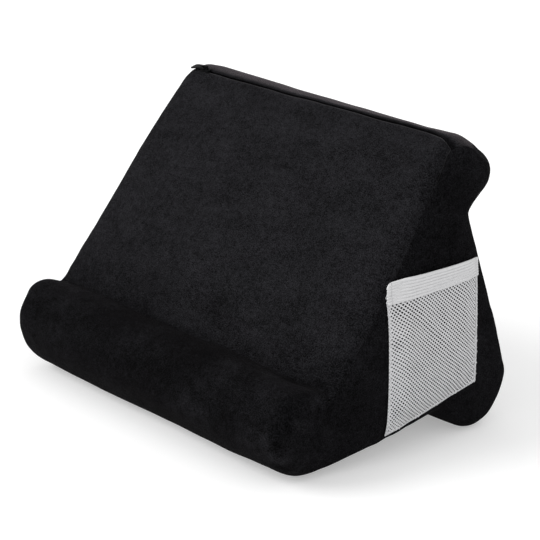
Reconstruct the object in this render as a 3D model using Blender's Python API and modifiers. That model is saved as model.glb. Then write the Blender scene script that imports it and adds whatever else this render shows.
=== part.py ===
"""Laptop pillow stand: a foam wedge with three lips in a zipped plush cover, with a net pocket.

The wedge is one outline in the Y-Z plane, a belt drawn round rolls, which runs from end to end
along X. Its rims are rounded, its ends are crowned, and it is drawn in at its top and round its
front foot. The foam core, the cover's panels and the zip's tapes are that same form at different
depths under the plush. Lengths are in metres, +X is the user's right, +Y the rear and +Z up.
"""

import math
from itertools import accumulate

import bmesh
import bpy
from mathutils import Matrix, Vector

# Overall size of the pillow without its pocket
WIDTH = 0.300
DEPTH = 0.205
HEIGHT = 0.203

# Radii of the rolls that the outline turns round, and of the rims at its two ends
FRONT_FOOT_RADIUS = 0.034
BASE_CREASE_RADIUS = 0.0037
REAR_FOOT_RADIUS = 0.020
REAR_HEEL_RADIUS = 0.0148
REAR_CREASE_RADIUS = 0.0035
TOP_NOSE_RADIUS = 0.0149
TOP_CROWN_RADIUS = 0.0188
FRONT_CREASE_RADIUS = 0.0043
FRONT_LIP_RADIUS = 0.018
RIM_RADIUS = 0.012
FOOT_FLAT = 0.0007

# Places of the upper rolls: shares of DEPTH behind the front and of HEIGHT above the floor
REAR_CREASE_SHARES = (0.841, 0.737)
TOP_NOSE_SHARES = (0.868, 0.866)
TOP_CROWN_DEPTH_SHARE = 0.776

# Places at the front foot: its radius times these, behind the front and above the floor
FRONT_CREASE_FOOT_SHARES = (1.1275, 1.911)
FRONT_LIP_FOOT_SHARES = (0.657, 1.367)

# Places at the rear foot: its radius times these, before the rear and above the floor
BASE_CREASE_FOOT_SHARES = (3.331, 0.832)
REAR_FOOT_INSET_SHARE = 1.558
REAR_HEEL_HEIGHT_SHARE = 1.817

# How the ends are crowned, and drawn in towards the top and round the front foot
CROWN = 0.0034
CROWN_REACH = 0.105
CROWN_MIDDLE_SHARES = (0.532, 0.443)
LEAN = 0.0105
LEAN_START_SHARE = 0.25
LEAN_POWER = 1.6
FOOT_DRAW = 0.0065
FOOT_DRAW_REACH = 0.055
FOOT_DRAW_DEPTH_SHARE = 0.141

# Cover: plush and its backing, the seams between panels, and the fit over the foam
FABRIC = 0.002
SEAM_GAP = 0.0003
SEAM_LIFT = math.radians(45)
CORE_FIT = 0.0005
FIT = 0.0003

# Zip: where its line lies on the top roll, how far it stops short of the rims, its chain, tapes and
# stops, and the channel that the foam gives it
ZIP_LINE_SHARE = 7 / 12
ZIP_MARGIN = 0.0009
ZIP_SLIT = 0.002
SLIT_TAPER = 0.0015
TAPE_WIDTH = 0.010
TAPE_THICKNESS = 0.0005
COIL_RADIUS = 0.0009
COIL_SPREAD = 0.0018
COIL_SIDES = 12
STOP_LENGTH = 0.003
STOP_GAP = 0.0005
STOP_BEVEL = 0.0003
CHANNEL_FIT = 0.0005

# Slider: two plates joined by a neck, flanges round the coils, and a bail that holds the pull tab
SLIDER_LENGTH = 0.009
SLIDER_TAPER = 0.0015
PLATE_THICKNESS = 0.001
CAP_WIDTH = 0.006
FLANGE_THICKNESS = 0.0008
NECK_WIDTH = 0.0011
NECK_LENGTH = 0.003
BAIL_WIDTH = 0.0014
BAIL_WIRE = 0.0007
BAIL_OPENING = 0.004
BAIL_HEADROOM = 0.0023

# Pull tab: a flat plate with an eye whose crossbar lies through the bail
TAB_LENGTH = 0.016
TAB_WIDTH = 0.006
TAB_THICKNESS = 0.001
TAB_SWELL = 0.003
TAB_CORNER = 0.0015
TAB_EYE_LENGTH = 0.0033
TAB_EYE_WIDTH = 0.0022
TAB_EYE_WALL = 0.0013
CROSSBAR = 0.0012

# Net pocket on the right end: its corners as shares of DEPTH and HEIGHT, its hems, net and elastic
POCKET_LOW_FRONT_SHARES = (0.424, 0.096)
POCKET_LOW_REAR_SHARES = (0.810, 0.190)
POCKET_TOP_FRONT_SHARES = (0.444, 0.586)
POCKET_TOP_REAR_SHARES = (0.820, 0.604)
NET_STAND = 0.0045
NET_THICKNESS = 0.0006
NET_STRAND = 0.0018
NET_COLUMNS = 12
NET_ROWS = 14
HEM_WIDTH = 0.008
HEM_FOOT = 0.002
HEM_THICKNESS = 0.001
HEM_STEPS = 9
BAND_WIDTH = 0.014
BAND_THICKNESS = 0.0012

# Smoothness: the most that one face turns, the longest face along a run, and the grid across each end
ARC_STEP = math.radians(16)
RUN_STEP = 0.060
END_GRID = 0.024
SHORTEST_STEP = 0.0002
SHARP_ANGLE = math.radians(35)
END_FACING_SHARE = 0.999
OVERRUN = 0.010

COVER_COLOUR = (0.018, 0.018, 0.020, 1.0)
SIDE_COLOUR = (0.010, 0.010, 0.012, 1.0)
FOAM_COLOUR = (0.72, 0.70, 0.62, 1.0)
ZIP_COLOUR = (0.012, 0.012, 0.013, 1.0)
METAL_COLOUR = (0.10, 0.10, 0.11, 1.0)
NET_COLOUR = (0.42, 0.42, 0.43, 1.0)
ELASTIC_COLOUR = (0.68, 0.68, 0.69, 1.0)


def placed(shares):
    """(y, z) of a place given as shares of the depth and the height."""
    return shares[0] * DEPTH, shares[1] * HEIGHT


def by_front_foot(shares):
    """(y, z) of a place given as shares of the front foot's radius, from the front."""
    return shares[0] * FRONT_FOOT_RADIUS, shares[1] * FRONT_FOOT_RADIUS


def by_rear_foot(shares):
    """(y, z) of a place given as shares of the rear foot's radius, from the rear."""
    return DEPTH - shares[0] * REAR_FOOT_RADIUS, shares[1] * REAR_FOOT_RADIUS


REAR_FOOT_Y = DEPTH - REAR_FOOT_INSET_SHARE * REAR_FOOT_RADIUS
REAR_HEEL_Z = REAR_HEEL_HEIGHT_SHARE * REAR_FOOT_RADIUS

# The rolls as (y, z, radius), counterclockwise from the right. The radius is negative in a crease.
ROLLS = (
    (FRONT_FOOT_RADIUS, FRONT_FOOT_RADIUS - FOOT_FLAT, FRONT_FOOT_RADIUS),
    (*by_rear_foot(BASE_CREASE_FOOT_SHARES), -BASE_CREASE_RADIUS),
    (REAR_FOOT_Y, REAR_FOOT_RADIUS - FOOT_FLAT, REAR_FOOT_RADIUS),
    (DEPTH - REAR_HEEL_RADIUS, REAR_HEEL_Z, REAR_HEEL_RADIUS),
    (*placed(REAR_CREASE_SHARES), -REAR_CREASE_RADIUS),
    (*placed(TOP_NOSE_SHARES), TOP_NOSE_RADIUS),
    (TOP_CROWN_DEPTH_SHARE * DEPTH, HEIGHT - TOP_CROWN_RADIUS, TOP_CROWN_RADIUS),
    (*by_front_foot(FRONT_CREASE_FOOT_SHARES), -FRONT_CREASE_RADIUS),
    (*by_front_foot(FRONT_LIP_FOOT_SHARES), FRONT_LIP_RADIUS),
)
BASE_CREASE, REAR_CREASE, TOP_CROWN, FRONT_CREASE = 1, 4, 6, 7


def outline_pieces():
    """The outline's arcs and straight runs in turn, as (length, first roll, last roll, heading, turn)."""
    followers = ROLLS[1:] + ROLLS[:1]
    headings = []
    runs = []
    for (y, z, radius), (next_y, next_z, next_radius) in zip(ROLLS, followers):
        apart = math.hypot(next_y - y, next_z - z)
        slant = math.asin((next_radius - radius) / apart)
        headings.append(math.atan2(next_z - z, next_y - y) - slant)
        runs.append(apart * math.cos(slant))
    pieces = []
    for k, roll in enumerate(ROLLS):
        turn = (headings[k] - headings[k - 1] + math.pi) % math.tau - math.pi
        pieces.append((abs(roll[2] * turn), roll, roll, headings[k - 1], turn))
        pieces.append((runs[k], roll, followers[k], headings[k], 0.0))
    return pieces


PIECES = outline_pieces()
STARTS = [0.0, *accumulate(piece[0] for piece in PIECES)]
OUTLINE_LENGTH = STARTS.pop()


def along_arc(roll, share):
    """The length along the outline at this share of one roll's arc."""
    return STARTS[2 * roll] + share * PIECES[2 * roll][0]


def outline_marks():
    """The ends of the outline's facets, as (length, y, z, radius, heading)."""
    marks = []
    for start, (length, first, last, heading, turn) in zip(STARTS, PIECES):
        steps = math.ceil(max(abs(turn) / ARC_STEP, length / RUN_STEP))
        for k in range(steps):
            y, z, radius = (a + (b - a) * k / steps for a, b in zip(first, last))
            marks.append((start + length * k / steps, y, z, radius, heading + turn * k / steps))
    return marks


MARKS = outline_marks()


def at_mark(mark, depth):
    _, y, z, radius, heading = mark
    return y + (radius - depth) * math.sin(heading), z - (radius - depth) * math.cos(heading)


def outline_at(length, depth=0.0):
    """(y, z) on the outline's facets at this length along it and this depth under it."""
    length %= OUTLINE_LENGTH
    k = max(k for k, mark in enumerate(MARKS) if mark[0] <= length)
    following = (k + 1) % len(MARKS)
    span = (MARKS[following][0] or OUTLINE_LENGTH) - MARKS[k][0]
    share = (length - MARKS[k][0]) / span
    (y0, z0), (y1, z1) = at_mark(MARKS[k], depth), at_mark(MARKS[following], depth)
    return y0 + (y1 - y0) * share, z0 + (z1 - z0) * share


def places(first, last):
    """Lengths along the outline from first to last, one at each end of a facet."""
    marks = [lap + mark[0] for lap in (0.0, OUTLINE_LENGTH) for mark in MARKS]
    return [first, *(m for m in marks if first + SHORTEST_STEP < m < last - SHORTEST_STEP), last]


def ease(share):
    share = min(max(share, 0.0), 1.0)
    return share * share * (3 - 2 * share)


def end_stretch(y, z):
    """How much wider than WIDTH the pillow is at this place of its outline, as a factor."""
    middle_y, middle_z = placed(CROWN_MIDDLE_SHARES)
    crown = CROWN * (1 - (math.hypot(y - middle_y, z - middle_z) / CROWN_REACH) ** 2)
    lean = LEAN * (max(z / HEIGHT - LEAN_START_SHARE, 0.0) / (1 - LEAN_START_SHARE)) ** LEAN_POWER
    foot = FOOT_DRAW * ease(1 - math.hypot(y - FOOT_DRAW_DEPTH_SHARE * DEPTH, z) / FOOT_DRAW_REACH)
    return 1 + (crown - lean - foot) / (WIDTH / 2)


FLAT_HALF = WIDTH / 2 - RIM_RADIUS
OUTLINE_POINTS = [outline_at(length) for length in places(0.0, OUTLINE_LENGTH)]


def outline_distance(y, z):
    """Distance from a place on the ends to the nearest point of the outline."""
    nearest = math.inf
    for (y0, z0), (y1, z1) in zip(OUTLINE_POINTS, OUTLINE_POINTS[1:]):
        across, rise = y1 - y0, z1 - z0
        share = ((y - y0) * across + (z - z0) * rise) / (across**2 + rise**2)
        share = min(max(share, 0.0), 1.0)
        nearest = min(nearest, math.hypot(y0 + share * across - y, z0 + share * rise - z))
    return nearest


def end_x(y, z):
    """X of the right end's surface at this place, on the crowned end or on its rounded rim."""
    down_rim = max(RIM_RADIUS - outline_distance(y, z), 0.0)
    return (FLAT_HALF + math.sqrt(RIM_RADIUS**2 - down_rim**2)) * end_stretch(y, z)


parts = bpy.data.collections.new("laptop_pillow_stand")
cutters = bpy.data.collections.new("cutters")


def material(name, colour, roughness, metallic=0.0):
    made = bpy.data.materials.get(name) or bpy.data.materials.new(name)
    made.use_nodes = True
    shader = made.node_tree.nodes["Principled BSDF"]
    shader.inputs["Base Color"].default_value = colour
    shader.inputs["Roughness"].default_value = roughness
    shader.inputs["Metallic"].default_value = metallic
    return made


def new_object(name, shape, look=None):
    """An object from a bmesh, smooth where its faces meet softly. Without a look it is a cutter."""
    mesh = bpy.data.meshes.new(name)
    shape.to_mesh(mesh)
    shape.free()
    mesh.shade_smooth()
    mesh.set_sharp_from_angle(angle=SHARP_ANGLE)
    made = bpy.data.objects.new(name, mesh)
    if look:
        mesh.materials.append(material(name, *look))
        parts.objects.link(made)
    else:
        cutters.objects.link(made)
        made.hide_render = True
        made.display_type = "WIRE"
    return made


def thicken(made, thickness):
    """Gives an open surface its thickness, outwards."""
    wall = made.modifiers.new("thickness", "SOLIDIFY")
    wall.thickness = thickness
    wall.offset = 1
    wall.use_even_offset = True


def combine(made, other, operation="DIFFERENCE"):
    cut = made.modifiers.new(other.name, "BOOLEAN")
    cut.object = other
    cut.operation = operation
    cut.solver = "EXACT"


def loft(shape, rows, stations, depth, closed_rows=False):
    """Faces through one row of places for each station: (x at the rim's start, lift round it)."""
    rim = RIM_RADIUS - depth
    grid = []
    for row, (flat_x, lift) in zip(rows, stations):
        x = flat_x + rim * math.sin(lift)
        sunk = depth + rim * (1 - math.cos(lift))
        grid.append([shape.verts.new((x, *outline_at(place, sunk))) for place in row])
    for row, following in zip(grid, grid[1:]):
        count = len(row)
        for j in range(count if closed_rows else count - 1):
            k = (j + 1) % count
            shape.faces.new((row[j], row[k], following[k], following[j]))
    return grid


def layer(rows, stations, depth, thickness, drawn=True):
    """A closed sheet with its outer face at this depth under the pillow's surface."""
    shape = bmesh.new()
    borders = []
    for sunk in (depth, depth + thickness):
        grid = loft(shape, rows, stations, sunk)
        inner_rows = grid[1:-1]
        around = [*grid[0], *(row[-1] for row in inner_rows), *grid[-1][::-1]]
        borders.append(around + [row[0] for row in inner_rows[::-1]])
    outer, inner = borders
    for k, vert in enumerate(outer):
        shape.faces.new((outer[k - 1], inner[k - 1], inner[k], vert))
    bmesh.ops.recalc_face_normals(shape, faces=shape.faces)
    if drawn:
        draw_in(shape)
    return shape


def draw_in(shape):
    """Crowns the ends, and draws them in at the top and round the foot."""
    for vert in shape.verts:
        vert.co.x *= end_stretch(vert.co.y, vert.co.z)


def end_faces(shape):
    shape.normal_update()
    return [face for face in shape.faces if abs(face.normal.x) > END_FACING_SHARE]


def grid_across_ends(shape):
    """Divides the flat end faces so that they can be crowned, alike at every depth."""
    for axis, size in ((Vector((0, 1, 0)), DEPTH), (Vector((0, 0, 1)), HEIGHT)):
        for k in range(1, math.ceil(size / END_GRID)):
            ends = end_faces(shape)
            around = {item for face in ends for item in (face, *face.edges, *face.verts)}
            across = axis * k * END_GRID
            bmesh.ops.bisect_plane(shape, geom=list(around), plane_co=across, plane_no=axis)
    bmesh.ops.triangulate(shape, faces=end_faces(shape))


def block(low, high):
    """A closed box as a bmesh, from its low corner to its high corner."""
    shape = bmesh.new()
    bmesh.ops.create_cube(shape, size=1)
    size = [b - a for a, b in zip(low, high)]
    middle = [(a + b) / 2 for a, b in zip(low, high)]
    bmesh.ops.scale(shape, verts=shape.verts, vec=size)
    bmesh.ops.translate(shape, verts=shape.verts, vec=middle)
    return shape


def extruded(outline, step):
    """A closed bmesh that this flat outline sweeps when it is moved by this step."""
    shape = bmesh.new()
    face = shape.faces.new([shape.verts.new(point) for point in outline])
    raised = bmesh.ops.extrude_face_region(shape, geom=[face])["geom"]
    moved = [item for item in raised if isinstance(item, bmesh.types.BMVert)]
    bmesh.ops.translate(shape, verts=moved, vec=step)
    bmesh.ops.recalc_face_normals(shape, faces=shape.faces)
    return shape


def plate(corners, low, high):
    """A closed flat plate with this (x, y) outline, from height low to height high."""
    return extruded([(x, y, low) for x, y in corners], (0, 0, high - low))


# The places where the panels meet, as lengths along the outline
ZIP_LINE = along_arc(TOP_CROWN, ZIP_LINE_SHARE)
BASE_SEAM = along_arc(BASE_CREASE, 0.5)
REAR_SEAM = along_arc(REAR_CREASE, 0.5)
FRONT_SEAM = along_arc(FRONT_CREASE, 0.5)

ZIP_Y, ZIP_Z = outline_at(ZIP_LINE)
_, _, _, CROWN_HEADING, CROWN_TURN = PIECES[2 * TOP_CROWN]
ZIP_HEADING = CROWN_HEADING + CROWN_TURN * ZIP_LINE_SHARE
ZIP_STRETCH = end_stretch(ZIP_Y, ZIP_Z)
ZIP_HALF = FLAT_HALF * ZIP_STRETCH - SLIT_TAPER - ZIP_MARGIN
# The zip's frame: x along the zip, y towards the top lip's side of it and z out of the cover
ZIP_FRAME = Matrix.Translation((0, ZIP_Y, ZIP_Z)) @ Matrix.Rotation(ZIP_HEADING - math.pi, 4, "X")

SEAM_LIFT_STEP = SEAM_GAP / 2 / RIM_RADIUS


def panel_stations(between=()):
    """Stations of a long panel, from the left seam round the rims to the right seam."""
    lifts = [(SEAM_LIFT - SEAM_LIFT_STEP) * k / 2 for k in (2, 1, 0)]
    left = [(-FLAT_HALF, -lift) for lift in lifts]
    right = [(FLAT_HALF, lift) for lift in reversed(lifts)]
    return [*left, *((x, 0.0) for x in between), *right]


def long_panel(name, first, last, look):
    """A panel of the cover that runs from end to end between two seams."""
    row = places(first + SEAM_GAP / 2, last - SEAM_GAP / 2)
    stations = panel_stations()
    return new_object(name, layer([row] * len(stations), stations, 0.0, FABRIC), look)


def zip_panel(name, seam, zip_side, look):
    """A panel whose one edge is the zip's slit, which closes to a sewn seam past each end of the zip."""
    half = ZIP_HALF / ZIP_STRETCH
    slit_ends = (-half - SLIT_TAPER, -half, half, half + SLIT_TAPER)
    stations = panel_stations(slit_ends)
    seam_edge = seam - zip_side * SEAM_GAP / 2
    near, far = sorted((ZIP_LINE + zip_side * ZIP_SLIT / 2, seam_edge))
    inner = places(near, far)[1:-1]
    rows = []
    for x, lift in stations:
        opened = lift == 0 and abs(x) <= half
        zip_edge = ZIP_LINE + zip_side * (ZIP_SLIT if opened else SEAM_GAP) / 2
        ends = sorted((zip_edge, seam_edge))
        rows.append([ends[0], *inner, ends[1]])
    return new_object(name, layer(rows, stations, 0.0, FABRIC), look)


def end_panel(name, side, look):
    """The cover's panel over one end, out to the seam half way round the rim."""
    lifts = [SEAM_LIFT + SEAM_LIFT_STEP, (SEAM_LIFT + SEAM_LIFT_STEP + math.pi / 2) / 2, math.pi / 2]
    stations = [(side * FLAT_HALF, side * lift) for lift in lifts]
    ring = places(0.0, OUTLINE_LENGTH)[:-1]
    shape = bmesh.new()
    seams = []
    for depth in (0.0, FABRIC):
        grid = loft(shape, [ring] * len(stations), stations, depth, closed_rows=True)
        shape.faces.new(grid[-1])
        seams.append(grid[0])
    outer, inner = seams
    for k, vert in enumerate(outer):
        shape.faces.new((outer[k - 1], inner[k - 1], inner[k], vert))
    grid_across_ends(shape)
    bmesh.ops.recalc_face_normals(shape, faces=shape.faces)
    draw_in(shape)
    return new_object(name, shape, look)


def foam_core(look):
    """The foam wedge, with a channel behind the zip and a rebate under its tapes."""
    depth = FABRIC + CORE_FIT
    lifts = [math.pi / 2 * k / 4 for k in (4, 3, 2, 1, 0)]
    left = [(-FLAT_HALF, -lift) for lift in lifts]
    stations = [*left, *((-x, -lift) for x, lift in reversed(left))]
    ring = places(0.0, OUTLINE_LENGTH)[:-1]
    shape = bmesh.new()
    grid = loft(shape, [ring] * len(stations), stations, depth, closed_rows=True)
    shape.faces.new(grid[0])
    shape.faces.new(grid[-1])
    grid_across_ends(shape)
    bmesh.ops.recalc_face_normals(shape, faces=shape.faces)
    draw_in(shape)
    core = new_object("foam_core", shape, look)

    half = ZIP_HALF + CHANNEL_FIT
    reach = ZIP_SLIT / 2 + TAPE_WIDTH + CHANNEL_FIT
    under_tape = FABRIC + FIT + TAPE_THICKNESS + FIT
    across = places(ZIP_LINE - reach, ZIP_LINE + reach)
    over = [outline_at(place) for place in across]
    under = [outline_at(place, under_tape) for place in across]
    section = [(-half, y, z) for y, z in over + under[::-1]]
    combine(core, new_object("tape_rebate", extruded(section, (2 * half, 0, 0))))

    flank = COIL_SPREAD + COIL_RADIUS + FIT + FLANGE_THICKNESS + CHANNEL_FIT
    floor = PLATE_BOTTOM - CHANNEL_FIT
    channel = new_object("zip_channel", block((-half, -flank, floor), (half, flank, OVERRUN)))
    channel.matrix_world = ZIP_FRAME
    combine(core, channel)
    return core


def floor_cut():
    """Everything under the floor, where the resting feet are pressed flat."""
    under = block((-WIDTH, -OVERRUN, -OVERRUN), (WIDTH, DEPTH + OVERRUN, 0))
    return new_object("floor_cut", under)


# Heights in the zip's frame, where zero is the plush surface
TAPE_BOTTOM = -(FABRIC + FIT + TAPE_THICKNESS)
COIL_HEIGHT = TAPE_BOTTOM - FIT - COIL_RADIUS
PLATE_TOP = COIL_HEIGHT - COIL_RADIUS - FIT
PLATE_BOTTOM = PLATE_TOP - PLATE_THICKNESS
CAP_TOP = FIT + PLATE_THICKNESS
PIVOT_HEIGHT = CAP_TOP + BAIL_HEADROOM / 2
CHAIN_END = ZIP_HALF - STOP_LENGTH
SLIDER_START = -(CHAIN_END - STOP_GAP - SLIDER_LENGTH / 2)


def zip_tape(name, side, look):
    """One tape, which follows the plush's inner face from the slit outwards."""
    near = ZIP_SLIT / 2
    ends = sorted((ZIP_LINE + side * near, ZIP_LINE + side * (near + TAPE_WIDTH)))
    row = places(*ends)
    stations = [(-ZIP_HALF, 0.0), (ZIP_HALF, 0.0)]
    shape = layer([row] * len(stations), stations, FABRIC + FIT, TAPE_THICKNESS, drawn=False)
    return new_object(name, shape, look)


def zip_coil(name, side, look):
    """One coil at its outer size, on the inner face of its tape."""
    reach = CHAIN_END - FIT
    shape = bmesh.new()
    turned = Matrix.Rotation(math.pi / 2, 4, "Y")
    bmesh.ops.create_cone(
        shape,
        cap_ends=True,
        segments=COIL_SIDES,
        radius1=COIL_RADIUS,
        radius2=COIL_RADIUS,
        depth=2 * reach,
        matrix=turned,
    )
    coil = new_object(name, shape, look)
    coil.matrix_world = ZIP_FRAME @ Matrix.Translation((0, -side * COIL_SPREAD, COIL_HEIGHT))
    return coil


def zip_stop(name, low_x, low_y, high_y, look):
    """A stop crimped on at the end of the chain."""
    low = (low_x, low_y, COIL_HEIGHT - COIL_RADIUS)
    high = (low_x + STOP_LENGTH, high_y, TAPE_BOTTOM - FIT)
    stop = new_object(name, block(low, high), look)
    stop.matrix_world = ZIP_FRAME
    bevel = stop.modifiers.new("bevel", "BEVEL")
    bevel.width = STOP_BEVEL
    return stop


def shield(length, width, taper):
    """The outline of a slider's plate: a bar with its four corners cut off."""
    x, y = length / 2, width / 2
    quarter = [(x, y - taper), (x - taper, y)]
    half = quarter + [(-px, py) for px, py in reversed(quarter)]
    return half + [(-px, -py) for px, py in half]


def zip_slider(look):
    """The slider at the left end of the zip, with its origin on the zip's line."""
    flange_inner = COIL_SPREAD + COIL_RADIUS + FIT
    flange_outer = flange_inner + FLANGE_THICKNESS
    half_length = SLIDER_LENGTH / 2
    base = plate(shield(SLIDER_LENGTH, 2 * flange_outer, SLIDER_TAPER), PLATE_BOTTOM, PLATE_TOP)
    slider = new_object("zipper_slider", base, look)
    flat = half_length - SLIDER_TAPER
    overlap = PLATE_THICKNESS / 2
    bits = [plate(shield(SLIDER_LENGTH, CAP_WIDTH, SLIDER_TAPER), FIT, CAP_TOP)]
    for low, high in ((-flange_outer, -flange_inner), (flange_inner, flange_outer)):
        bits.append(block((-flat, low, PLATE_TOP - overlap), (flat, high, COIL_HEIGHT)))
    neck_low = (-flat, -NECK_WIDTH / 2, PLATE_TOP - overlap)
    neck_high = (NECK_LENGTH - flat, NECK_WIDTH / 2, FIT + overlap)
    bits.append(block(neck_low, neck_high))
    bits.append(bail(overlap))
    slider.matrix_world = ZIP_FRAME @ Matrix.Translation((SLIDER_START, 0, 0))
    for k, bit in enumerate(bits):
        added = new_object(f"slider_bit_{k}", bit)
        added.matrix_world = slider.matrix_world
        combine(slider, added, "UNION")
    return slider


def bail(sunk):
    """The slider's arch, along the zip, whose opening holds the pull tab's crossbar."""
    inner = BAIL_OPENING / 2
    outer = inner + BAIL_WIRE
    under = CAP_TOP + BAIL_HEADROOM
    over = under + BAIL_WIRE
    arch = [(outer, CAP_TOP - sunk), (outer, under), (inner, over)]
    arch += [(-x, z) for x, z in reversed(arch)]
    arch += [(-inner, CAP_TOP - sunk), (-inner, under), (inner, under), (inner, CAP_TOP - sunk)]
    return extruded([(x, -BAIL_WIDTH / 2, z) for x, z in arch], (0, BAIL_WIDTH, 0))


def pull_tab(slider, look):
    """The pull tab lying along the zip to the left, with its origin on its crossbar."""
    eye_far = -(CROSSBAR / 2 + TAB_EYE_LENGTH)
    neck = TAB_EYE_WIDTH / 2 + TAB_EYE_WALL
    wide = TAB_WIDTH / 2
    tip = CROSSBAR / 2 - TAB_LENGTH
    side = [
        (CROSSBAR / 2, neck),
        (eye_far - TAB_EYE_WALL, neck),
        (tip + TAB_SWELL, wide),
        (tip + TAB_CORNER, wide),
        (tip, wide - TAB_CORNER),
    ]
    outline = side + [(x, -y) for x, y in reversed(side)]
    tab_plate = plate(outline, -TAB_THICKNESS / 2, TAB_THICKNESS / 2)
    tab = new_object("zipper_pull_tab", tab_plate, look)
    low = (eye_far, -TAB_EYE_WIDTH / 2, -TAB_THICKNESS)
    high = (-CROSSBAR / 2, TAB_EYE_WIDTH / 2, TAB_THICKNESS)
    eye = new_object("tab_eye", block(low, high))
    pivot = slider.matrix_world @ Matrix.Translation((0, 0, PIVOT_HEIGHT))
    eye.matrix_world = pivot
    tab.matrix_world = pivot
    combine(tab, eye)


# The plane of the net, which stands off the crowned end so that things slide in behind it
NET_X = WIDTH / 2 + CROWN + NET_STAND
LOW_FRONT, LOW_REAR = placed(POCKET_LOW_FRONT_SHARES), placed(POCKET_LOW_REAR_SHARES)
TOP_FRONT, TOP_REAR = placed(POCKET_TOP_FRONT_SHARES), placed(POCKET_TOP_REAR_SHARES)
POCKET_WIDTH = math.dist(TOP_FRONT, TOP_REAR)
POCKET_HEIGHT = math.dist(LOW_FRONT, TOP_FRONT)
HEM_ACROSS = [0.0, HEM_FOOT, HEM_WIDTH - FIT]


def pocket_place(across, up):
    """(y, z) at this length across the pocket from its front edge and up from its bottom edge."""
    rearward, upward = across / POCKET_WIDTH, up / POCKET_HEIGHT
    low = Vector(LOW_FRONT).lerp(Vector(LOW_REAR), rearward)
    return low.lerp(Vector(TOP_FRONT).lerp(Vector(TOP_REAR), rearward), upward)


def pocket_point(across, up, proud=0.0):
    """A point of the pocket's inner face, which lies on the end and rises across the hems."""
    y, z = pocket_place(across, up)
    inside = min(across, POCKET_WIDTH - across, up)
    share = min(max((inside - HEM_FOOT) / (HEM_WIDTH - HEM_FOOT), 0.0), 1.0)
    foot = end_x(y, z) + FIT
    return foot + share * (NET_X + proud - foot), y, z


def pocket_sheet(name, columns, rows, thickness, look, proud=0.0):
    """A sheet of the pocket with these lengths across and up."""
    shape = bmesh.new()
    grid = []
    for across in columns:
        grid.append([shape.verts.new(pocket_point(across, up, proud)) for up in rows])
    for strip, following in zip(grid, grid[1:]):
        for j in range(len(rows) - 1):
            shape.faces.new((strip[j], following[j], following[j + 1], strip[j + 1]))
    made = new_object(name, shape, look)
    thicken(made, thickness)
    return made


def spread(low, high, count):
    return [low + (high - low) * k / count for k in range(count + 1)]


def mirrored(lengths):
    """These lengths from the pocket's front edge, measured from its rear edge instead."""
    return [POCKET_WIDTH - length for length in reversed(lengths)]


def side_hem(name, columns, look):
    """A folded hem of the net down one side of the pocket, from the elastic to the bottom edge."""
    rows = [0.0, HEM_FOOT, *spread(HEM_WIDTH, POCKET_HEIGHT - BAND_WIDTH - FIT, HEM_STEPS)]
    return pocket_sheet(name, columns, rows, HEM_THICKNESS, look)


def bottom_hem(look):
    """The folded hem along the pocket's bottom edge, between the side hems."""
    columns = spread(HEM_WIDTH, POCKET_WIDTH - HEM_WIDTH, HEM_STEPS)
    return pocket_sheet("pocket_bottom_hem", columns, HEM_ACROSS, HEM_THICKNESS, look)


def elastic_band(look):
    """The elastic across the pocket's mouth, over the net's top edge and down onto the end."""
    near = [0.0, HEM_FOOT, HEM_WIDTH]
    columns = near + mirrored(near)
    rows = spread(POCKET_HEIGHT - BAND_WIDTH, POCKET_HEIGHT, 2)
    proud = NET_THICKNESS + FIT
    return pocket_sheet("pocket_elastic_band", columns, rows, BAND_THICKNESS, look, proud)


def pocket_net(look):
    """The net itself: a flat sheet of strands between the hems, up to the mouth."""
    shape = bmesh.new()
    bmesh.ops.create_grid(shape, x_segments=NET_COLUMNS, y_segments=NET_ROWS, size=0.5)
    for vert in shape.verts:
        across = HEM_WIDTH + (vert.co.x + 0.5) * (POCKET_WIDTH - 2 * HEM_WIDTH)
        up = HEM_WIDTH + (vert.co.y + 0.5) * (POCKET_HEIGHT - HEM_WIDTH)
        vert.co = (NET_X, *pocket_place(across, up))
    shape.normal_update()
    inset = bmesh.ops.inset_individual(shape, faces=shape.faces, thickness=NET_STRAND / 2)
    strands = set(inset["faces"])
    holes = [face for face in shape.faces if face not in strands]
    bmesh.ops.delete(shape, geom=holes, context="FACES_ONLY")
    made = new_object("pocket_net", shape, look)
    thicken(made, NET_THICKNESS)
    return made


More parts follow.
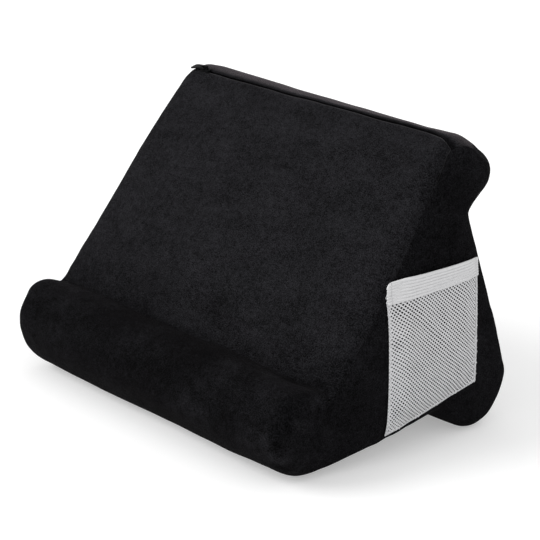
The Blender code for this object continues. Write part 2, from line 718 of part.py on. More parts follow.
def build():
    for old in list(bpy.data.objects):
        bpy.data.objects.remove(old)
    for group in (parts, cutters):
        bpy.context.scene.collection.children.link(group)
    cutters.hide_render = True

    plush = (COVER_COLOUR, 0.95)
    end_plush = (SIDE_COLOUR, 0.95)
    tape = (ZIP_COLOUR, 0.85)
    coil = (ZIP_COLOUR, 0.45)
    metal = (METAL_COLOUR, 0.35, 0.9)
    net = (NET_COLOUR, 0.8)

    foam_core((FOAM_COLOUR, 0.9))
    zip_panel("front_panel", FRONT_SEAM, 1, plush)
    base = long_panel("front_lip_panel", FRONT_SEAM, BASE_SEAM + OUTLINE_LENGTH, plush)
    rear = long_panel("rear_panel", BASE_SEAM, REAR_SEAM, plush)
    zip_panel("top_lip_panel", REAR_SEAM, -1, plush)
    end_panel("end_panel_left", -1, end_plush)
    end_panel("end_panel_right", 1, end_plush)
    floor = floor_cut()
    for resting in (base, rear):
        combine(resting, floor)

    zip_tape("zipper_tape_front", 1, tape)
    zip_tape("zipper_tape_rear", -1, tape)
    zip_coil("zipper_coil_front", 1, coil)
    zip_coil("zipper_coil_rear", -1, coil)
    stop_inner = COIL_SPREAD - COIL_RADIUS
    stop_outer = COIL_SPREAD + COIL_RADIUS
    zip_stop("zipper_top_stop_front", -ZIP_HALF, -stop_outer, -stop_inner, metal)
    zip_stop("zipper_top_stop_rear", -ZIP_HALF, stop_inner, stop_outer, metal)
    zip_stop("zipper_bottom_stop", CHAIN_END, -stop_outer, stop_outer, metal)
    slider = zip_slider(metal)
    pull_tab(slider, metal)

    side_hem("pocket_side_hem_front", HEM_ACROSS, net)
    side_hem("pocket_side_hem_rear", mirrored(HEM_ACROSS), net)
    bottom_hem(net)
    pocket_net(net)
    elastic_band((ELASTIC_COLOUR, 0.7))

    # The origin is on the floor, in the middle of the part's box
    pocket_reach = NET_X + NET_THICKNESS + FIT + BAND_THICKNESS
    middle_x = (pocket_reach - WIDTH / 2 - CROWN) / 2
    origin = bpy.data.objects.new("floor_middle", None)
    parts.objects.link(origin)
    for made in list(parts.objects) + list(cutters.objects):
        if made is not origin:
            made.parent = origin
    origin.location = (-middle_x, -DEPTH / 2, 0)


build()
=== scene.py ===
"""Dresses the laptop pillow stand: plush cover over foam, concealed zip and net pocket."""

import math

import bmesh
import bpy
import numpy as np
from bpy.props import FloatProperty, FloatVectorProperty, IntProperty, PointerProperty
from mathutils import Matrix, Vector, noise
from mathutils.bvhtree import BVHTree
from mathutils.geometry import delaunay_2d_cdt
from mathutils.kdtree import KDTree


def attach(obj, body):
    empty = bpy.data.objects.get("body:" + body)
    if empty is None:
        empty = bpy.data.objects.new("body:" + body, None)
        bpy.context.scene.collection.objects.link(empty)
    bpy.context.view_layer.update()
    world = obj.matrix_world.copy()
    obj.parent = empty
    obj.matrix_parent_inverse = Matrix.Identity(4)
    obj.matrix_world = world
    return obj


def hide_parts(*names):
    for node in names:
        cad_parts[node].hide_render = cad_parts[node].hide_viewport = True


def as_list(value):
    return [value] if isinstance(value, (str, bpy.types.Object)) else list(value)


bl_info = {
    "name": "Laptop pillow stand",
    "version": (1, 0, 0),
    "blender": (4, 5, 0),
    "location": "View3D > Sidebar > Pillow stand",
    "description": "Plush cover, foam wedge, concealed zip and net pocket of a pillow stand",
    "category": "Object",
}

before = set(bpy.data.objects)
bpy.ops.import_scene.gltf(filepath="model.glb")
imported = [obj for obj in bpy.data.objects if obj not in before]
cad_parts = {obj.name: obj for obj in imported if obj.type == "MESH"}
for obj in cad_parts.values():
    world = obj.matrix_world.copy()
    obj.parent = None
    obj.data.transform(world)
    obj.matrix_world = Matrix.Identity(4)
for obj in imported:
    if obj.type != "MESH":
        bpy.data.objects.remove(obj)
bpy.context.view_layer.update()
MM = 0.001

# The wedge's form, as its solids have it: rolls as (y, z, radius) from the pillow's front
WIDTH, DEPTH, HEIGHT = 0.300, 0.205, 0.203
MIDDLE = Vector((-0.0033, -0.1025, 0.0))
RIM_RADIUS = 0.012
FLAT_HALF = WIDTH / 2 - RIM_RADIUS
ROLLS = (
    (0.0340, 0.0333, 0.0340),
    (0.13838, 0.01664, -0.0037),
    (0.17384, 0.0193, 0.0200),
    (0.1902, 0.03634, 0.0148),
    (0.172405, 0.149611, -0.0035),
    (0.17794, 0.175798, 0.0149),
    (0.15908, 0.1842, 0.0188),
    (0.038335, 0.064974, -0.0043),
    (0.022338, 0.046478, 0.0180),
)
BASE_CREASE, REAR_CREASE, TOP_CROWN, FRONT_CREASE = 1, 4, 6, 7
ZIP_LINE_SHARE = 7 / 12
CROWN, CROWN_REACH, CROWN_MIDDLE = 0.0034, 0.105, (0.532 * DEPTH, 0.443 * HEIGHT)
LEAN, LEAN_START, LEAN_POWER = 0.0105, 0.25, 1.6
FOOT_DRAW, FOOT_DRAW_REACH, FOOT_DRAW_DEPTH = 0.0065, 0.055, 0.141 * DEPTH
SEAM_LIFT = math.radians(62)
FACE_NORMAL = Vector((0, -0.79294, 0.60930))

# The zip's frame: x along the zip, y towards the top lip and z out of the cover
ZIP_POINT = Vector((-0.0033, 0.051421, 0.202121))
ZIP_REARWARD = Vector((0, 0.96097, 0.276653))
ZIP_OUT = Vector((0, -0.276653, 0.96097))
ZIP_FRAME = Matrix(
    (
        (1, 0, 0, ZIP_POINT.x),
        (0, ZIP_REARWARD.y, ZIP_OUT.y, ZIP_POINT.y),
        (0, ZIP_REARWARD.z, ZIP_OUT.z, ZIP_POINT.z),
        (0, 0, 0, 1),
    )
)
ZIP_HALF = 0.125
SLIDER_X = -0.117

# The pocket's corners as (y, z) in the row frame, and how far its net stands off the cover
POCKET_LOW_FRONT, POCKET_LOW_REAR = (-0.01558, 0.019488), (0.06355, 0.03857)
POCKET_TOP_FRONT, POCKET_TOP_REAR = (-0.0149, 0.1220), (0.0648, 0.1230)
POCKET_WIDTH = math.dist(POCKET_TOP_FRONT, POCKET_TOP_REAR)
POCKET_HEIGHT = math.dist(POCKET_LOW_FRONT, POCKET_TOP_FRONT)
NET_STAND = 2.6 * MM


# What a user can set


def length_of(name, description, default, **limits):
    return FloatProperty(
        name=name, description=description, default=default, unit="LENGTH", **limits,
    )


def colour_of(name, description, default):
    return FloatVectorProperty(
        name=name, description=description, default=default, subtype="COLOR", size=4,
        min=0, max=1,
    )


class PillowCover(bpy.types.PropertyGroup):
    cell: length_of(
        "Cloth cell", "Size of the cover's cloth cells before smoothing", 3.7 * MM,
        min=2 * MM, max=12 * MM,
    )
    fabric: length_of("Plush thickness", "Thickness of the plush with its backing", 1.5 * MM)
    seam_gap: length_of("Seam gap", "Half of the gap between two sewn edges", 0.04 * MM)
    seam_depth: length_of("Seam depth", "How far a sewn edge turns in under the plush", 2.2 * MM)
    seam_round: length_of(
        "Seam rounding", "How far from a seam the plush starts to turn in", 0.55 * MM,
    )
    pucker: length_of("Pucker", "How deep the seams gather the plush beside them", 0.55 * MM)
    pressure: FloatProperty(
        name="Filling pressure", description="How hard the foam presses the cover outwards",
        default=4.0,
    )
    swell: length_of("Swell", "How far the cover may stand out between its seams", 1.5 * MM)
    inset: length_of("Inset", "How far the cover starts under its outer form", 0.2 * MM)
    foam_depth: length_of(
        "Foam depth", "How far the foam lies under the cover's outer form", 6.0 * MM,
    )


class PillowZip(bpy.types.PropertyGroup):
    slit: length_of("Slit", "Width of the open slit over the zip", 1.5 * MM)
    coil_pitch: length_of("Coil pitch", "Distance between two turns of a coil", 1.3 * MM)


class PillowPocket(bpy.types.PropertyGroup):
    hole_pitch: length_of(
        "Hole pitch", "Distance between the net's holes along a row", 2.6 * MM,
    )
    row_pitch: length_of("Row pitch", "Distance between two rows of the net's holes", 1.5 * MM)
    strand: length_of("Strand", "Width of the net's strands", 0.76 * MM)
    band_width: length_of(
        "Elastic width", "Width of the elastic across the pocket's mouth", 14 * MM,
    )
    ribs: IntProperty(
        name="Elastic ribs", description="Number of lengthwise ribs in the elastic", default=7,
    )


class PillowColours(bpy.types.PropertyGroup):
    plush: colour_of("Plush", "The plush between its fibre tips", (0.0021, 0.0021, 0.0023, 1))
    plush_tips: colour_of("Plush tips", "The plush's lit fibre tips", (0.0122, 0.0121, 0.0137, 1))
    foam: colour_of("Foam", "The foam wedge", (0.70, 0.66, 0.52, 1))
    tape: colour_of("Zip tape", "The zip's woven tapes", (0.010, 0.010, 0.011, 1))
    coil: colour_of("Zip coil", "The zip's nylon coils", (0.014, 0.014, 0.015, 1))
    metal: colour_of("Zip metal", "The slider, its pull and the stops", (0.004, 0.004, 0.0045, 1))
    net: colour_of("Net", "The pocket's net", (0.77, 0.77, 0.785, 1))
    elastic: colour_of("Elastic", "The elastic band and its thread", (0.77, 0.77, 0.78, 1))


# The wedge's form


def outline_pieces():
    """The outline's arcs and runs in turn, as (length, first roll, last roll, heading, turn)."""
    followers = ROLLS[1:] + ROLLS[:1]
    headings, runs = [], []
    for (y, z, radius), (next_y, next_z, next_radius) in zip(ROLLS, followers):
        apart = math.hypot(next_y - y, next_z - z)
        slant = math.asin((next_radius - radius) / apart)
        headings.append(math.atan2(next_z - z, next_y - y) - slant)
        runs.append(apart * math.cos(slant))
    pieces = []
    for k, roll in enumerate(ROLLS):
        turn = (headings[k] - headings[k - 1] + math.pi) % math.tau - math.pi
        pieces.append((abs(roll[2] * turn), roll, roll, headings[k - 1], turn))
        pieces.append((runs[k], roll, followers[k], headings[k], 0.0))
    return pieces


PIECES = outline_pieces()
PIECE_LENGTHS, PIECE_FIRST, PIECE_LAST, PIECE_HEADING, PIECE_TURN = map(np.array, zip(*PIECES))
PIECE_STARTS = np.concatenate([[0.0], np.cumsum(PIECE_LENGTHS)])
OUTLINE_LENGTH = PIECE_STARTS[-1]


def along_arc(roll, share):
    return PIECE_STARTS[2 * roll] + share * PIECE_LENGTHS[2 * roll]


BASE_SEAM = along_arc(BASE_CREASE, 0.5)
REAR_SEAM = along_arc(REAR_CREASE, 0.5)
ZIP_LINE = along_arc(TOP_CROWN, ZIP_LINE_SHARE)
FRONT_SEAM = along_arc(FRONT_CREASE, 0.5)
# The cover's long panels as (piece, solid, first seam, last seam), in turn round the outline
LONG_PANELS = (
    ("cover_rear_panel", "rear_panel", BASE_SEAM, REAR_SEAM),
    ("cover_top_lip", "top_lip_panel", REAR_SEAM, ZIP_LINE),
    ("cover_front_face", "front_panel", ZIP_LINE, FRONT_SEAM),
    ("cover_front_lip", "front_lip_panel", FRONT_SEAM, BASE_SEAM + OUTLINE_LENGTH),
)
END_PANELS = (
    ("cover_left_end", "end_panel_left", -1),
    ("cover_right_end", "end_panel_right", 1),
)


def on_outline(length, depth):
    """(y, z) on the outline at these lengths along it and depths under it."""
    length = np.mod(length, OUTLINE_LENGTH)
    k = np.clip(np.searchsorted(PIECE_STARTS, length, side="right") - 1, 0, len(PIECES) - 1)
    share = (length - PIECE_STARTS[k]) / PIECE_LENGTHS[k]
    roll = PIECE_FIRST[k] + (PIECE_LAST[k] - PIECE_FIRST[k]) * share[..., None]
    heading = PIECE_HEADING[k] + PIECE_TURN[k] * share
    reach = roll[..., 2] - depth
    return roll[..., 0] + reach * np.sin(heading), roll[..., 1] - reach * np.cos(heading)


def end_stretch(y, z):
    """How much wider than WIDTH the pillow is at these places of its outline, as a factor."""
    away = np.hypot(y - CROWN_MIDDLE[0], z - CROWN_MIDDLE[1])
    crown = CROWN * (1 - (away / CROWN_REACH) ** 2)
    rise = np.maximum(z / HEIGHT - LEAN_START, 0.0) / (1 - LEAN_START)
    lean = LEAN * rise**LEAN_POWER
    near = np.clip(1 - np.hypot(y - FOOT_DRAW_DEPTH, z) / FOOT_DRAW_REACH, 0, 1)
    foot = FOOT_DRAW * near * near * (3 - 2 * near)
    return 1 + (crown - lean - foot) / (WIDTH / 2)


def on_form(place, flat_x, lift, depth):
    """Points of the pillow's form, in the row frame, at these places, stations and depths."""
    place, flat_x, lift, depth = np.broadcast_arrays(place, flat_x, lift, depth)
    rim = RIM_RADIUS - depth
    y, z = on_outline(place.astype(float), depth + rim * (1 - np.cos(lift)))
    x = (flat_x + rim * np.sin(lift)) * end_stretch(y, z)
    return np.stack([x + MIDDLE.x, y + MIDDLE.y, z + MIDDLE.z], axis=-1)


def front_crease():
    """(y, z) of the seam in the front crease, in the row frame."""
    y, z = on_outline(np.array(FRONT_SEAM), 0.0)
    return np.array((float(y) + MIDDLE.y, float(z)))


def by_zip(coords):
    """These points in the zip's frame."""
    return (coords - np.array(ZIP_POINT)) @ np.array([(1, 0, 0), ZIP_REARWARD, ZIP_OUT]).T


def ease(share):
    """A soft step from 0 to 1 as the share goes from 0 to 1."""
    share = min(max(share, 0.0), 1.0)
    return share * share * (3 - 2 * share)


def bell(away, reach):
    """1 at the place itself, falling softly to nothing past this reach."""
    return np.exp(-((away / reach) ** 2))


def swing(point, *waves):
    """A smooth random swing at this point, summed over these (scale, amount) waves."""
    return sum(amount * noise.noise(point * scale) for scale, amount in waves)


# Making a piece


def new_object(name, data):
    made = bpy.data.objects.new(name, data)
    bpy.context.scene.collection.objects.link(made)
    return made


def new_piece(name, coords, faces):
    """A mesh object with these vertices and faces, shaded smooth."""
    mesh = bpy.data.meshes.new(name)
    mesh.from_pydata([tuple(p) for p in coords], [], [tuple(f) for f in faces])
    mesh.validate()
    mesh.shade_smooth()
    return new_object(name, mesh)


def strip_faces(column_count, row_count):
    """The faces of a strip of cloth whose points run up each column in turn."""
    faces = []
    for i in range(column_count - 1):
        for j in range(row_count - 1):
            low, beside = i * row_count + j, (i + 1) * row_count + j
            faces.append((low, beside, beside + 1, low + 1))
    return faces


def only(made):
    """Selects this object alone and makes it active."""
    bpy.ops.object.select_all(action="DESELECT")
    made.select_set(True)
    bpy.context.view_layer.objects.active = made


def edit(made, selected="DESELECT"):
    """Opens this object alone in edit mode, with everything in it deselected or selected."""
    only(made)
    bpy.ops.object.mode_set(mode="EDIT")
    bpy.ops.mesh.select_all(action=selected)


def leave_edit():
    bpy.ops.object.mode_set(mode="OBJECT")


def apply_modifiers(made):
    only(made)
    for modifier in list(made.modifiers):
        bpy.ops.object.modifier_apply(modifier=modifier.name)
    made.data.shade_smooth()


def smoothed(made):
    smooth = made.modifiers.new("smooth", "SUBSURF")
    smooth.levels = smooth.render_levels = 1
    apply_modifiers(made)


def thickened(made, thickness, offset):
    wall = made.modifiers.new("thickness", "SOLIDIFY")
    wall.thickness, wall.offset = thickness, offset
    apply_modifiers(made)


def joined(first, *others):
    """These objects as one object, under the first one's name."""
    only(first)
    for other in others:
        other.select_set(True)
    bpy.ops.object.join()
    return first


def settle_in(made, matrix):
    """Moves the mesh by this matrix, so that the object itself stays at the origin."""
    made.data.transform(matrix)
    made.data.update()


def finish_piece(made, body, nodes, look):
    """Puts a finished piece on its body, in place of its solids and with its finish."""
    made.data.materials.clear()
    made.data.materials.append(look)
    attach(made, body)
    if nodes:
        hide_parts(*nodes)


# Materials


BLACK = (0.0, 0.0, 0.0, 1.0)


def shader_group(name, inputs):
    """A node group with these (name, type, default) inputs that gives a colour and a height."""
    group = bpy.data.node_groups.new(name, "ShaderNodeTree")
    for label, kind, default in inputs:
        socket = group.interface.new_socket(name=label, in_out="INPUT", socket_type=kind)
        socket.default_value = default
    for label, kind in (("Colour", "NodeSocketColor"), ("Height", "NodeSocketFloat")):
        group.interface.new_socket(name=label, in_out="OUTPUT", socket_type=kind)
    given = group.nodes.new("NodeGroupInput")
    return group, given.outputs, group.nodes.new("NodeGroupOutput").inputs


def node(tree, kind, values=(), **settings):
    """A node with these settings and these (socket, value or output socket) inputs."""
    made = tree.nodes.new(kind)
    for key, value in settings.items():
        setattr(made, key, value)
    for socket, value in values:
        if isinstance(value, bpy.types.NodeSocket):
            tree.links.new(value, made.inputs[socket])
        else:
            made.inputs[socket].default_value = value
    return made


def maths(tree, operation, first, second=0.0):
    return node(tree, "ShaderNodeMath", ((0, first), (1, second)), operation=operation).outputs[0]


def mottling(tree, place, scale, detail, roughness, distortion=0.0):
    """Noise over these coordinates, from 0 to 1."""
    values = (
        ("Vector", place), ("Scale", scale), ("Detail", detail), ("Roughness", roughness),
        ("Distortion", distortion),
    )
    return node(tree, "ShaderNodeTexNoise", values).outputs[0]


def rescaled(tree, value, given, wanted):
    """This value carried over from one (low, high) range to another, and held inside it."""
    values = (
        ("Value", value), ("From Min", given[0]), ("From Max", given[1]),
        ("To Min", wanted[0]), ("To Max", wanted[1]),
    )
    return node(tree, "ShaderNodeMapRange", values).outputs[0]


def blended(tree, share, first, second, blend="MIX"):
    """The first colour, passing into the second one by this share."""
    values = (("Factor", share), (6, first), (7, second))
    return node(
        tree, "ShaderNodeMix", values, data_type="RGBA", blend_type=blend,
    ).outputs[2]


def object_place(tree):
    return node(tree, "ShaderNodeTexCoord").outputs["Object"]


def painted(tree, name):
    """What the mesh's attribute of this name says."""
    return node(tree, "ShaderNodeAttribute", attribute_name=name).outputs["Fac"]


def pile_group():
    """Short plush: fibre tips, the marks of a hand brushed over it, and its height."""
    group, given, out = shader_group(
        "brushed_pile",
        (
            ("Vector", "NodeSocketVector", (0, 0, 0)),
            ("Deep", "NodeSocketColor", (0, 0, 0, 1)),
            ("Tips", "NodeSocketColor", (1, 1, 1, 1)),
            ("Fibre scale", "NodeSocketFloat", 1250.0),
            ("Brush scale", "NodeSocketFloat", 28.0),
            ("Brush strength", "NodeSocketFloat", 0.5),
        ),
    )
    place = given["Vector"]
    fibres = mottling(group, place, given["Fibre scale"], 3.0, 0.65)
    tufts = mottling(group, place, 260.0, 2.0, 0.55)
    swept = node(group, "ShaderNodeMapping", (("Vector", place), ("Scale", (1.0, 1.6, 2.2))))
    strokes = mottling(group, swept.outputs[0], given["Brush scale"], 3.0, 0.6, 0.6)
    fine, broad = maths(group, "MULTIPLY", fibres, 0.8), maths(group, "MULTIPLY", tufts, 0.2)
    grain = maths(group, "ADD", fine, broad)
    tips = rescaled(group, grain, (0.39, 0.62), (0.0, 1.0))
    brush = rescaled(group, strokes, (0.32, 0.68), (-1.0, 1.0))
    brush = maths(group, "MULTIPLY", brush, given["Brush strength"])
    lit = node(
        group, "ShaderNodeMath", ((0, tips), (1, brush)), operation="ADD", use_clamp=True,
    ).outputs[0]
    group.links.new(blended(group, lit, given["Deep"], given["Tips"]), out["Colour"])
    group.links.new(grain, out["Height"])
    return group


def weave_group():
    """Woven threads: a fine over-and-under grid with slubs, for tape, elastic and net yarn."""
    made_before = bpy.data.node_groups.get("woven_threads")
    if made_before:
        return made_before
    group, given, out = shader_group(
        "woven_threads",
        (
            ("Vector", "NodeSocketVector", (0, 0, 0)),
            ("Colour", "NodeSocketColor", (1, 1, 1, 1)),
            ("Thread scale", "NodeSocketFloat", 600.0),
            ("Shade", "NodeSocketFloat", 0.25),
        ),
    )
    scaled = node(
        group, "ShaderNodeVectorMath", ((0, given["Vector"]), (3, given["Thread scale"])),
        operation="SCALE",
    )
    parts = node(group, "ShaderNodeSeparateXYZ", ((0, scaled.outputs[0]),)).outputs
    warp = maths(group, "SINE", maths(group, "MULTIPLY", parts[1], math.tau))
    weft = maths(group, "SINE", maths(group, "MULTIPLY", parts[2], math.tau))
    weave = maths(group, "MULTIPLY", maths(group, "MULTIPLY", warp, weft), 0.35)
    height = maths(group, "ADD", weave, mottling(group, given["Vector"], 420.0, 3.0, 0.6))
    lit = rescaled(group, height, (0.1, 0.9), (0.0, 1.0))
    sunk = blended(group, given["Shade"], given["Colour"], BLACK)
    group.links.new(blended(group, lit, sunk, given["Colour"]), out["Colour"])
    group.links.new(height, out["Height"])
    return group


def new_material(name, settings):
    """A material with a Principled shader whose own sockets hold these constants."""
    look = bpy.data.materials.new(name)
    look.use_nodes = True
    shader = look.node_tree.nodes["Principled BSDF"]
    for socket, value in settings:
        shader.inputs[socket].default_value = value
    return look, look.node_tree, shader.inputs


def show(tree, shader, colour, height, strength, distance):
    """Gives the shader this colour, and bumps of this height."""
    values = (("Height", height), ("Strength", strength), ("Distance", distance))
    tree.links.new(colour, shader["Base Color"])
    tree.links.new(node(tree, "ShaderNodeBump", values).outputs[0], shader["Normal"])


def plush_look(colours):
    """Black plush: darker or lighter by the way its pile lies and by painted light and shade, with a
    painted sheen, and lighter where it is folded, partly as a painted highlight.
    """
    look, tree, shader = new_material(
        "black_plush",
        (
            ("Roughness", 1.0), ("Specular IOR Level", 0.02), ("Sheen Roughness", 0.5),
            ("Sheen Tint", (1.0, 0.87, 0.92, 1.0)),
        ),
    )
    pile = node(
        tree, "ShaderNodeGroup",
        (
            ("Vector", object_place(tree)), ("Deep", colours.plush),
            ("Tips", colours.plush_tips), ("Brush strength", 0.16),
        ),
        node_tree=pile_group(),
    ).outputs
    # How light the plush is drawn: the way its pile lies, with painted light and shade written on each
    # panel
    pile_and_light = painted(tree, "pile_and_light")
    raised = maths(tree, "MULTIPLY", maths(tree, "ADD", pile["Height"], -0.5), 1.6)
    level = rescaled(tree, maths(tree, "ADD", pile_and_light, raised), (0.0, 1.0), (0.40, 1.80))
    pile_with_painted_light = blended(tree, 1.0, pile["Colour"], level, "MULTIPLY")
    # Painted sheen: the sheen weight rises only where the attribute passes 1.1, behind the zip on the
    # top lip, as a painted highlight
    sheen = rescaled(tree, pile_and_light, (1.1, 2.0), (0.007, 0.17))
    tree.links.new(sheen, shader["Sheen Weight"])
    # Folded edges drawn lighter: partly the plush's ground showing where the pile parts, partly a
    # painted highlight
    folds_ground_and_highlit = blended(tree, painted(tree, "fold"), pile_with_painted_light, (0.099, 0.094, 0.099, 1.0))
    show(tree, shader, folds_ground_and_highlit, pile["Height"], 0.9, 0.9 * MM)
    return look


def woven_look(name, colour, threads, shade, settings, grooves=0.0):
    """Woven cloth, with painted shade of this share in the grooves that the mesh's attribute marks."""
    look, tree, shader = new_material(name, settings)
    weave = node(
        tree, "ShaderNodeGroup",
        (
            ("Vector", object_place(tree)), ("Colour", colour), ("Thread scale", threads),
            ("Shade", shade),
        ),
        node_tree=weave_group(),
    ).outputs
    sunk = maths(tree, "MULTIPLY", painted(tree, "groove"), grooves)
    lined = blended(tree, sunk, weave["Colour"], BLACK)
    show(tree, shader, lined, weave["Height"], 0.5, 0.2 * MM)
    return look


def grained_look(name, colour, scale, darkening, settings, strength, distance):
    """Foam, nylon or painted metal: one colour with a fine grain in its shade and height."""
    look, tree, shader = new_material(name, settings)
    grain = mottling(tree, object_place(tree), scale, 4.0, 0.6)
    darker = tuple(c * (1 - darkening) for c in colour[:3]) + (1.0,)
    shown = blended(tree, grain, darker, tuple(colour))
    show(tree, shader, shown, grain, strength, distance)
    return look


# The cover


def seam_rows(cell):
    """Places along the outline, a whole number of cells from seam to seam, and their panels."""
    rows, panels = [], []
    for k, (_, _, first, last) in enumerate(LONG_PANELS):
        count = max(4, round((last - first) / cell))
        rows += [first + (last - first) * j / count for j in range(count)]
        panels += [k] * count
    return np.array(rows), panels


def stations_across(cell, seam_steps):
    """The flat x and the lift round the rim of each column, from the left seam to the right."""
    lifts = [SEAM_LIFT * k / seam_steps for k in range(seam_steps, 0, -1)]
    across = max(4, round(2 * FLAT_HALF / cell))
    stations = [(-FLAT_HALF, -lift) for lift in lifts]
    stations += [(x, 0.0) for x in spread(-FLAT_HALF, FLAT_HALF, across)]
    stations += [(FLAT_HALF, lift) for lift in reversed(lifts)]
    return np.array(stations).T


def spread(low, high, count):
    """Evenly spaced values from low to high, with this many steps between them."""
    return [low + (high - low) * k / count for k in range(count + 1)]


def skin(cell, depth):
    """The whole cover as one closed skin: (coordinates, faces, each face's panel, seam points)."""
    rows, row_panels = seam_rows(cell)
    seam_steps = max(2, round(RIM_RADIUS * SEAM_LIFT / cell))
    flat_x, lift = stations_across(cell, seam_steps)
    belt = on_form(rows[:, None], flat_x[None], lift[None], depth)
    row_count, column_count = belt.shape[:2]
    coords, faces, panels, seams = [belt.reshape(-1, 3)], [], [], set()
    for i, panel in enumerate(row_panels):
        start, following = i * column_count, (i + 1) % row_count * column_count
        for j in range(column_count - 1):
            faces.append((start + j, following + j, following + j + 1, start + j + 1))
            panels.append(panel)
        if i == 0 or panel != row_panels[i - 1]:
            seams.update(range(start, start + column_count))
        seams.update((start, start + column_count - 1))
    total = row_count * column_count
    for label, (_, _, side) in enumerate(END_PANELS, start=len(LONG_PANELS)):
        seam = range(0 if side < 0 else column_count - 1, row_count * column_count, column_count)
        end_coords, end_faces = end_cap(rows, list(seam), total, side, cell, depth, seam_steps)
        total += sum(len(ring) for ring in end_coords)
        coords += end_coords
        faces += end_faces
        panels += [label] * len(end_faces)
    return np.concatenate(coords), faces, panels, sorted(seams)


def end_cap(rows, ring, first, side, cell, depth, seam_steps):
    """One end from its seam inwards: (coordinates, faces), its own points numbered from first."""
    coords, faces = [], []
    for step in range(1, seam_steps + 1):
        lift = SEAM_LIFT + (math.pi / 2 - SEAM_LIFT) * step / seam_steps
        coords.append(on_form(rows, side * FLAT_HALF, side * lift, depth))
        inner = list(range(first, first + len(rows)))
        first += len(rows)
        faces += zip(ring, ring[1:] + ring[:1], inner[1:] + inner[:1], inner)
        ring = inner
    border = np.stack(on_outline(rows, np.full(len(rows), RIM_RADIUS)), axis=-1)
    inside, cells = fill_end(border, cell)
    x = side * (FLAT_HALF + RIM_RADIUS - depth) * end_stretch(inside[:, 0], inside[:, 1])
    coords.append(np.column_stack([x, inside]) + np.array(MIDDLE))
    numbers = ring + list(range(first, first + len(inside)))
    faces += [tuple(numbers[k] for k in triangle) for triangle in cells]
    return coords, faces if side > 0 else [face[::-1] for face in faces]


BORDER_CLEARANCE_SHARE = 0.62


def fill_end(border, cell):
    """Inner points and triangles that fill this closed border, in the y-z plane."""
    low, high = border.min(axis=0), border.max(axis=0)
    clearance = BORDER_CLEARANCE_SHARE * cell
    rise = cell * math.sqrt(3) / 2
    inner = []
    for j in range(1, int((high[1] - low[1]) / rise) + 1):
        z = low[1] + j * rise
        for i in range(int((high[0] - low[0]) / cell) + 1):
            y = low[0] + (i + 0.5 * (j % 2)) * cell
            if is_inside(border, y, z) and np.hypot(*(border - (y, z)).T).min() > clearance:
                inner.append((y, z))
    points = [Vector(p) for p in border] + [Vector(p) for p in inner]
    count = len(border)
    edges = [(k, (k + 1) % count) for k in range(count)]
    filled = delaunay_2d_cdt(points, edges, [list(range(count))], 1, 1e-7)
    cells, originals = filled[2], filled[3]
    triangles = []
    for triangle in cells:
        triangle = [originals[k][0] for k in triangle]
        a, b, c = (points[k] for k in triangle)
        turned = (b - a).cross(c - a) < 0
        triangles.append(triangle[::-1] if turned else triangle)
    return np.array(inner), triangles


def is_inside(border, y, z):
    """Whether this place is inside the closed border, by counting crossings."""
    y0, z0 = border.T
    y1, z1 = np.roll(border, -1, axis=0).T
    crosses = (z0 > z) != (z1 > z)
    with np.errstate(divide="ignore", invalid="ignore"):
        at = y0 + (z - z0) / (z1 - z0) * (y1 - y0)
    return bool(np.count_nonzero(crosses & (y < at)) % 2)


FILLING_FRAMES = 20


def settled(made, seams, pressure, swell):
    """The skin's coordinates after its filling has pressed it out between its pinned seams."""
    rest = np.array([v.co for v in made.data.vertices])
    group = made.vertex_groups.new(name="sewn")
    group.add(seams, 1.0, "REPLACE")
    cloth = made.modifiers.new("filling", "CLOTH")
    cloth.settings.vertex_group_mass = "sewn"
    cloth.settings.use_pressure = True
    cloth.settings.uniform_pressure_force = pressure
    cloth.settings.effector_weights.gravity = 0
    cloth.settings.quality = 5
    cloth.point_cache.frame_start, cloth.point_cache.frame_end = 1, FILLING_FRAMES
    scene = bpy.context.scene
    for number in range(1, FILLING_FRAMES + 1):
        scene.frame_set(number)
    graph = bpy.context.evaluated_depsgraph_get()
    moved = np.array([v.co for v in made.evaluated_get(graph).data.vertices])
    made.modifiers.remove(cloth)
    made.vertex_groups.remove(group)
    scene.frame_set(1)
    step = moved - rest
    length = np.linalg.norm(step, axis=1)
    capped = swell * (1 - np.exp(-length / swell))
    return rest + step * (capped / np.maximum(length, 1e-9))[:, None]


def moved_to(made, coords):
    """Moves the vertices to these coordinates and gives their new normals."""
    for vert, place in zip(made.data.vertices, coords):
        vert.co = place
    made.data.update()
    return np.array([v.normal for v in made.data.vertices])


def soft_lumps(point):
    """How far the plush stands out here, from the give of the foam and the lie of the pile."""
    broad = noise.noise(Vector(point) * 16.0)
    small = noise.noise(Vector(point) * 55.0 + Vector((3.1, 7.7, 1.9)))
    return 0.8 * MM * broad + 0.25 * MM * small


# How much fuller the top lip stands behind the zip, and the front lip below, as (x, height)
# in millimetres
LIP_FULLNESS = (
    (-144, 0.2), (-132, 2.6), (-116, 3.5), (-90, 2.4), (-68, 2.2), (-28, 1.6), (10, 0.5),
    (48, -0.1), (72, -0.6), (100, -0.8), (120, 0.0), (136, 1.8), (146, 0.8),
)
FRONT_FULLNESS = ((-152, 1.7), (-60, 1.3), (20, 0.6), (60, 0.0))


def lip_fullness(coords):
    """How much fuller the top lip stands behind the zip, most of all towards its left end."""
    _, behind, over = by_zip(coords).T / MM
    lip = np.clip((behind - 2.5) / 6, 0, 1) * np.clip((30 - behind) / 12, 0, 1)
    height = np.interp(coords[:, 0] / MM, *zip(*LIP_FULLNESS))
    return MM * height * lip * (np.abs(over + 6) < 12)


def front_fullness(coords):
    """How much fuller the front lip stands below, most of all towards its left end."""
    x, y, z = coords.T / MM
    below = np.clip((-y - 45) / 25, 0, 1) * np.clip((52 - z) / 20, 0, 1)
    return MM * np.interp(x, *zip(*FRONT_FULLNESS)) * below


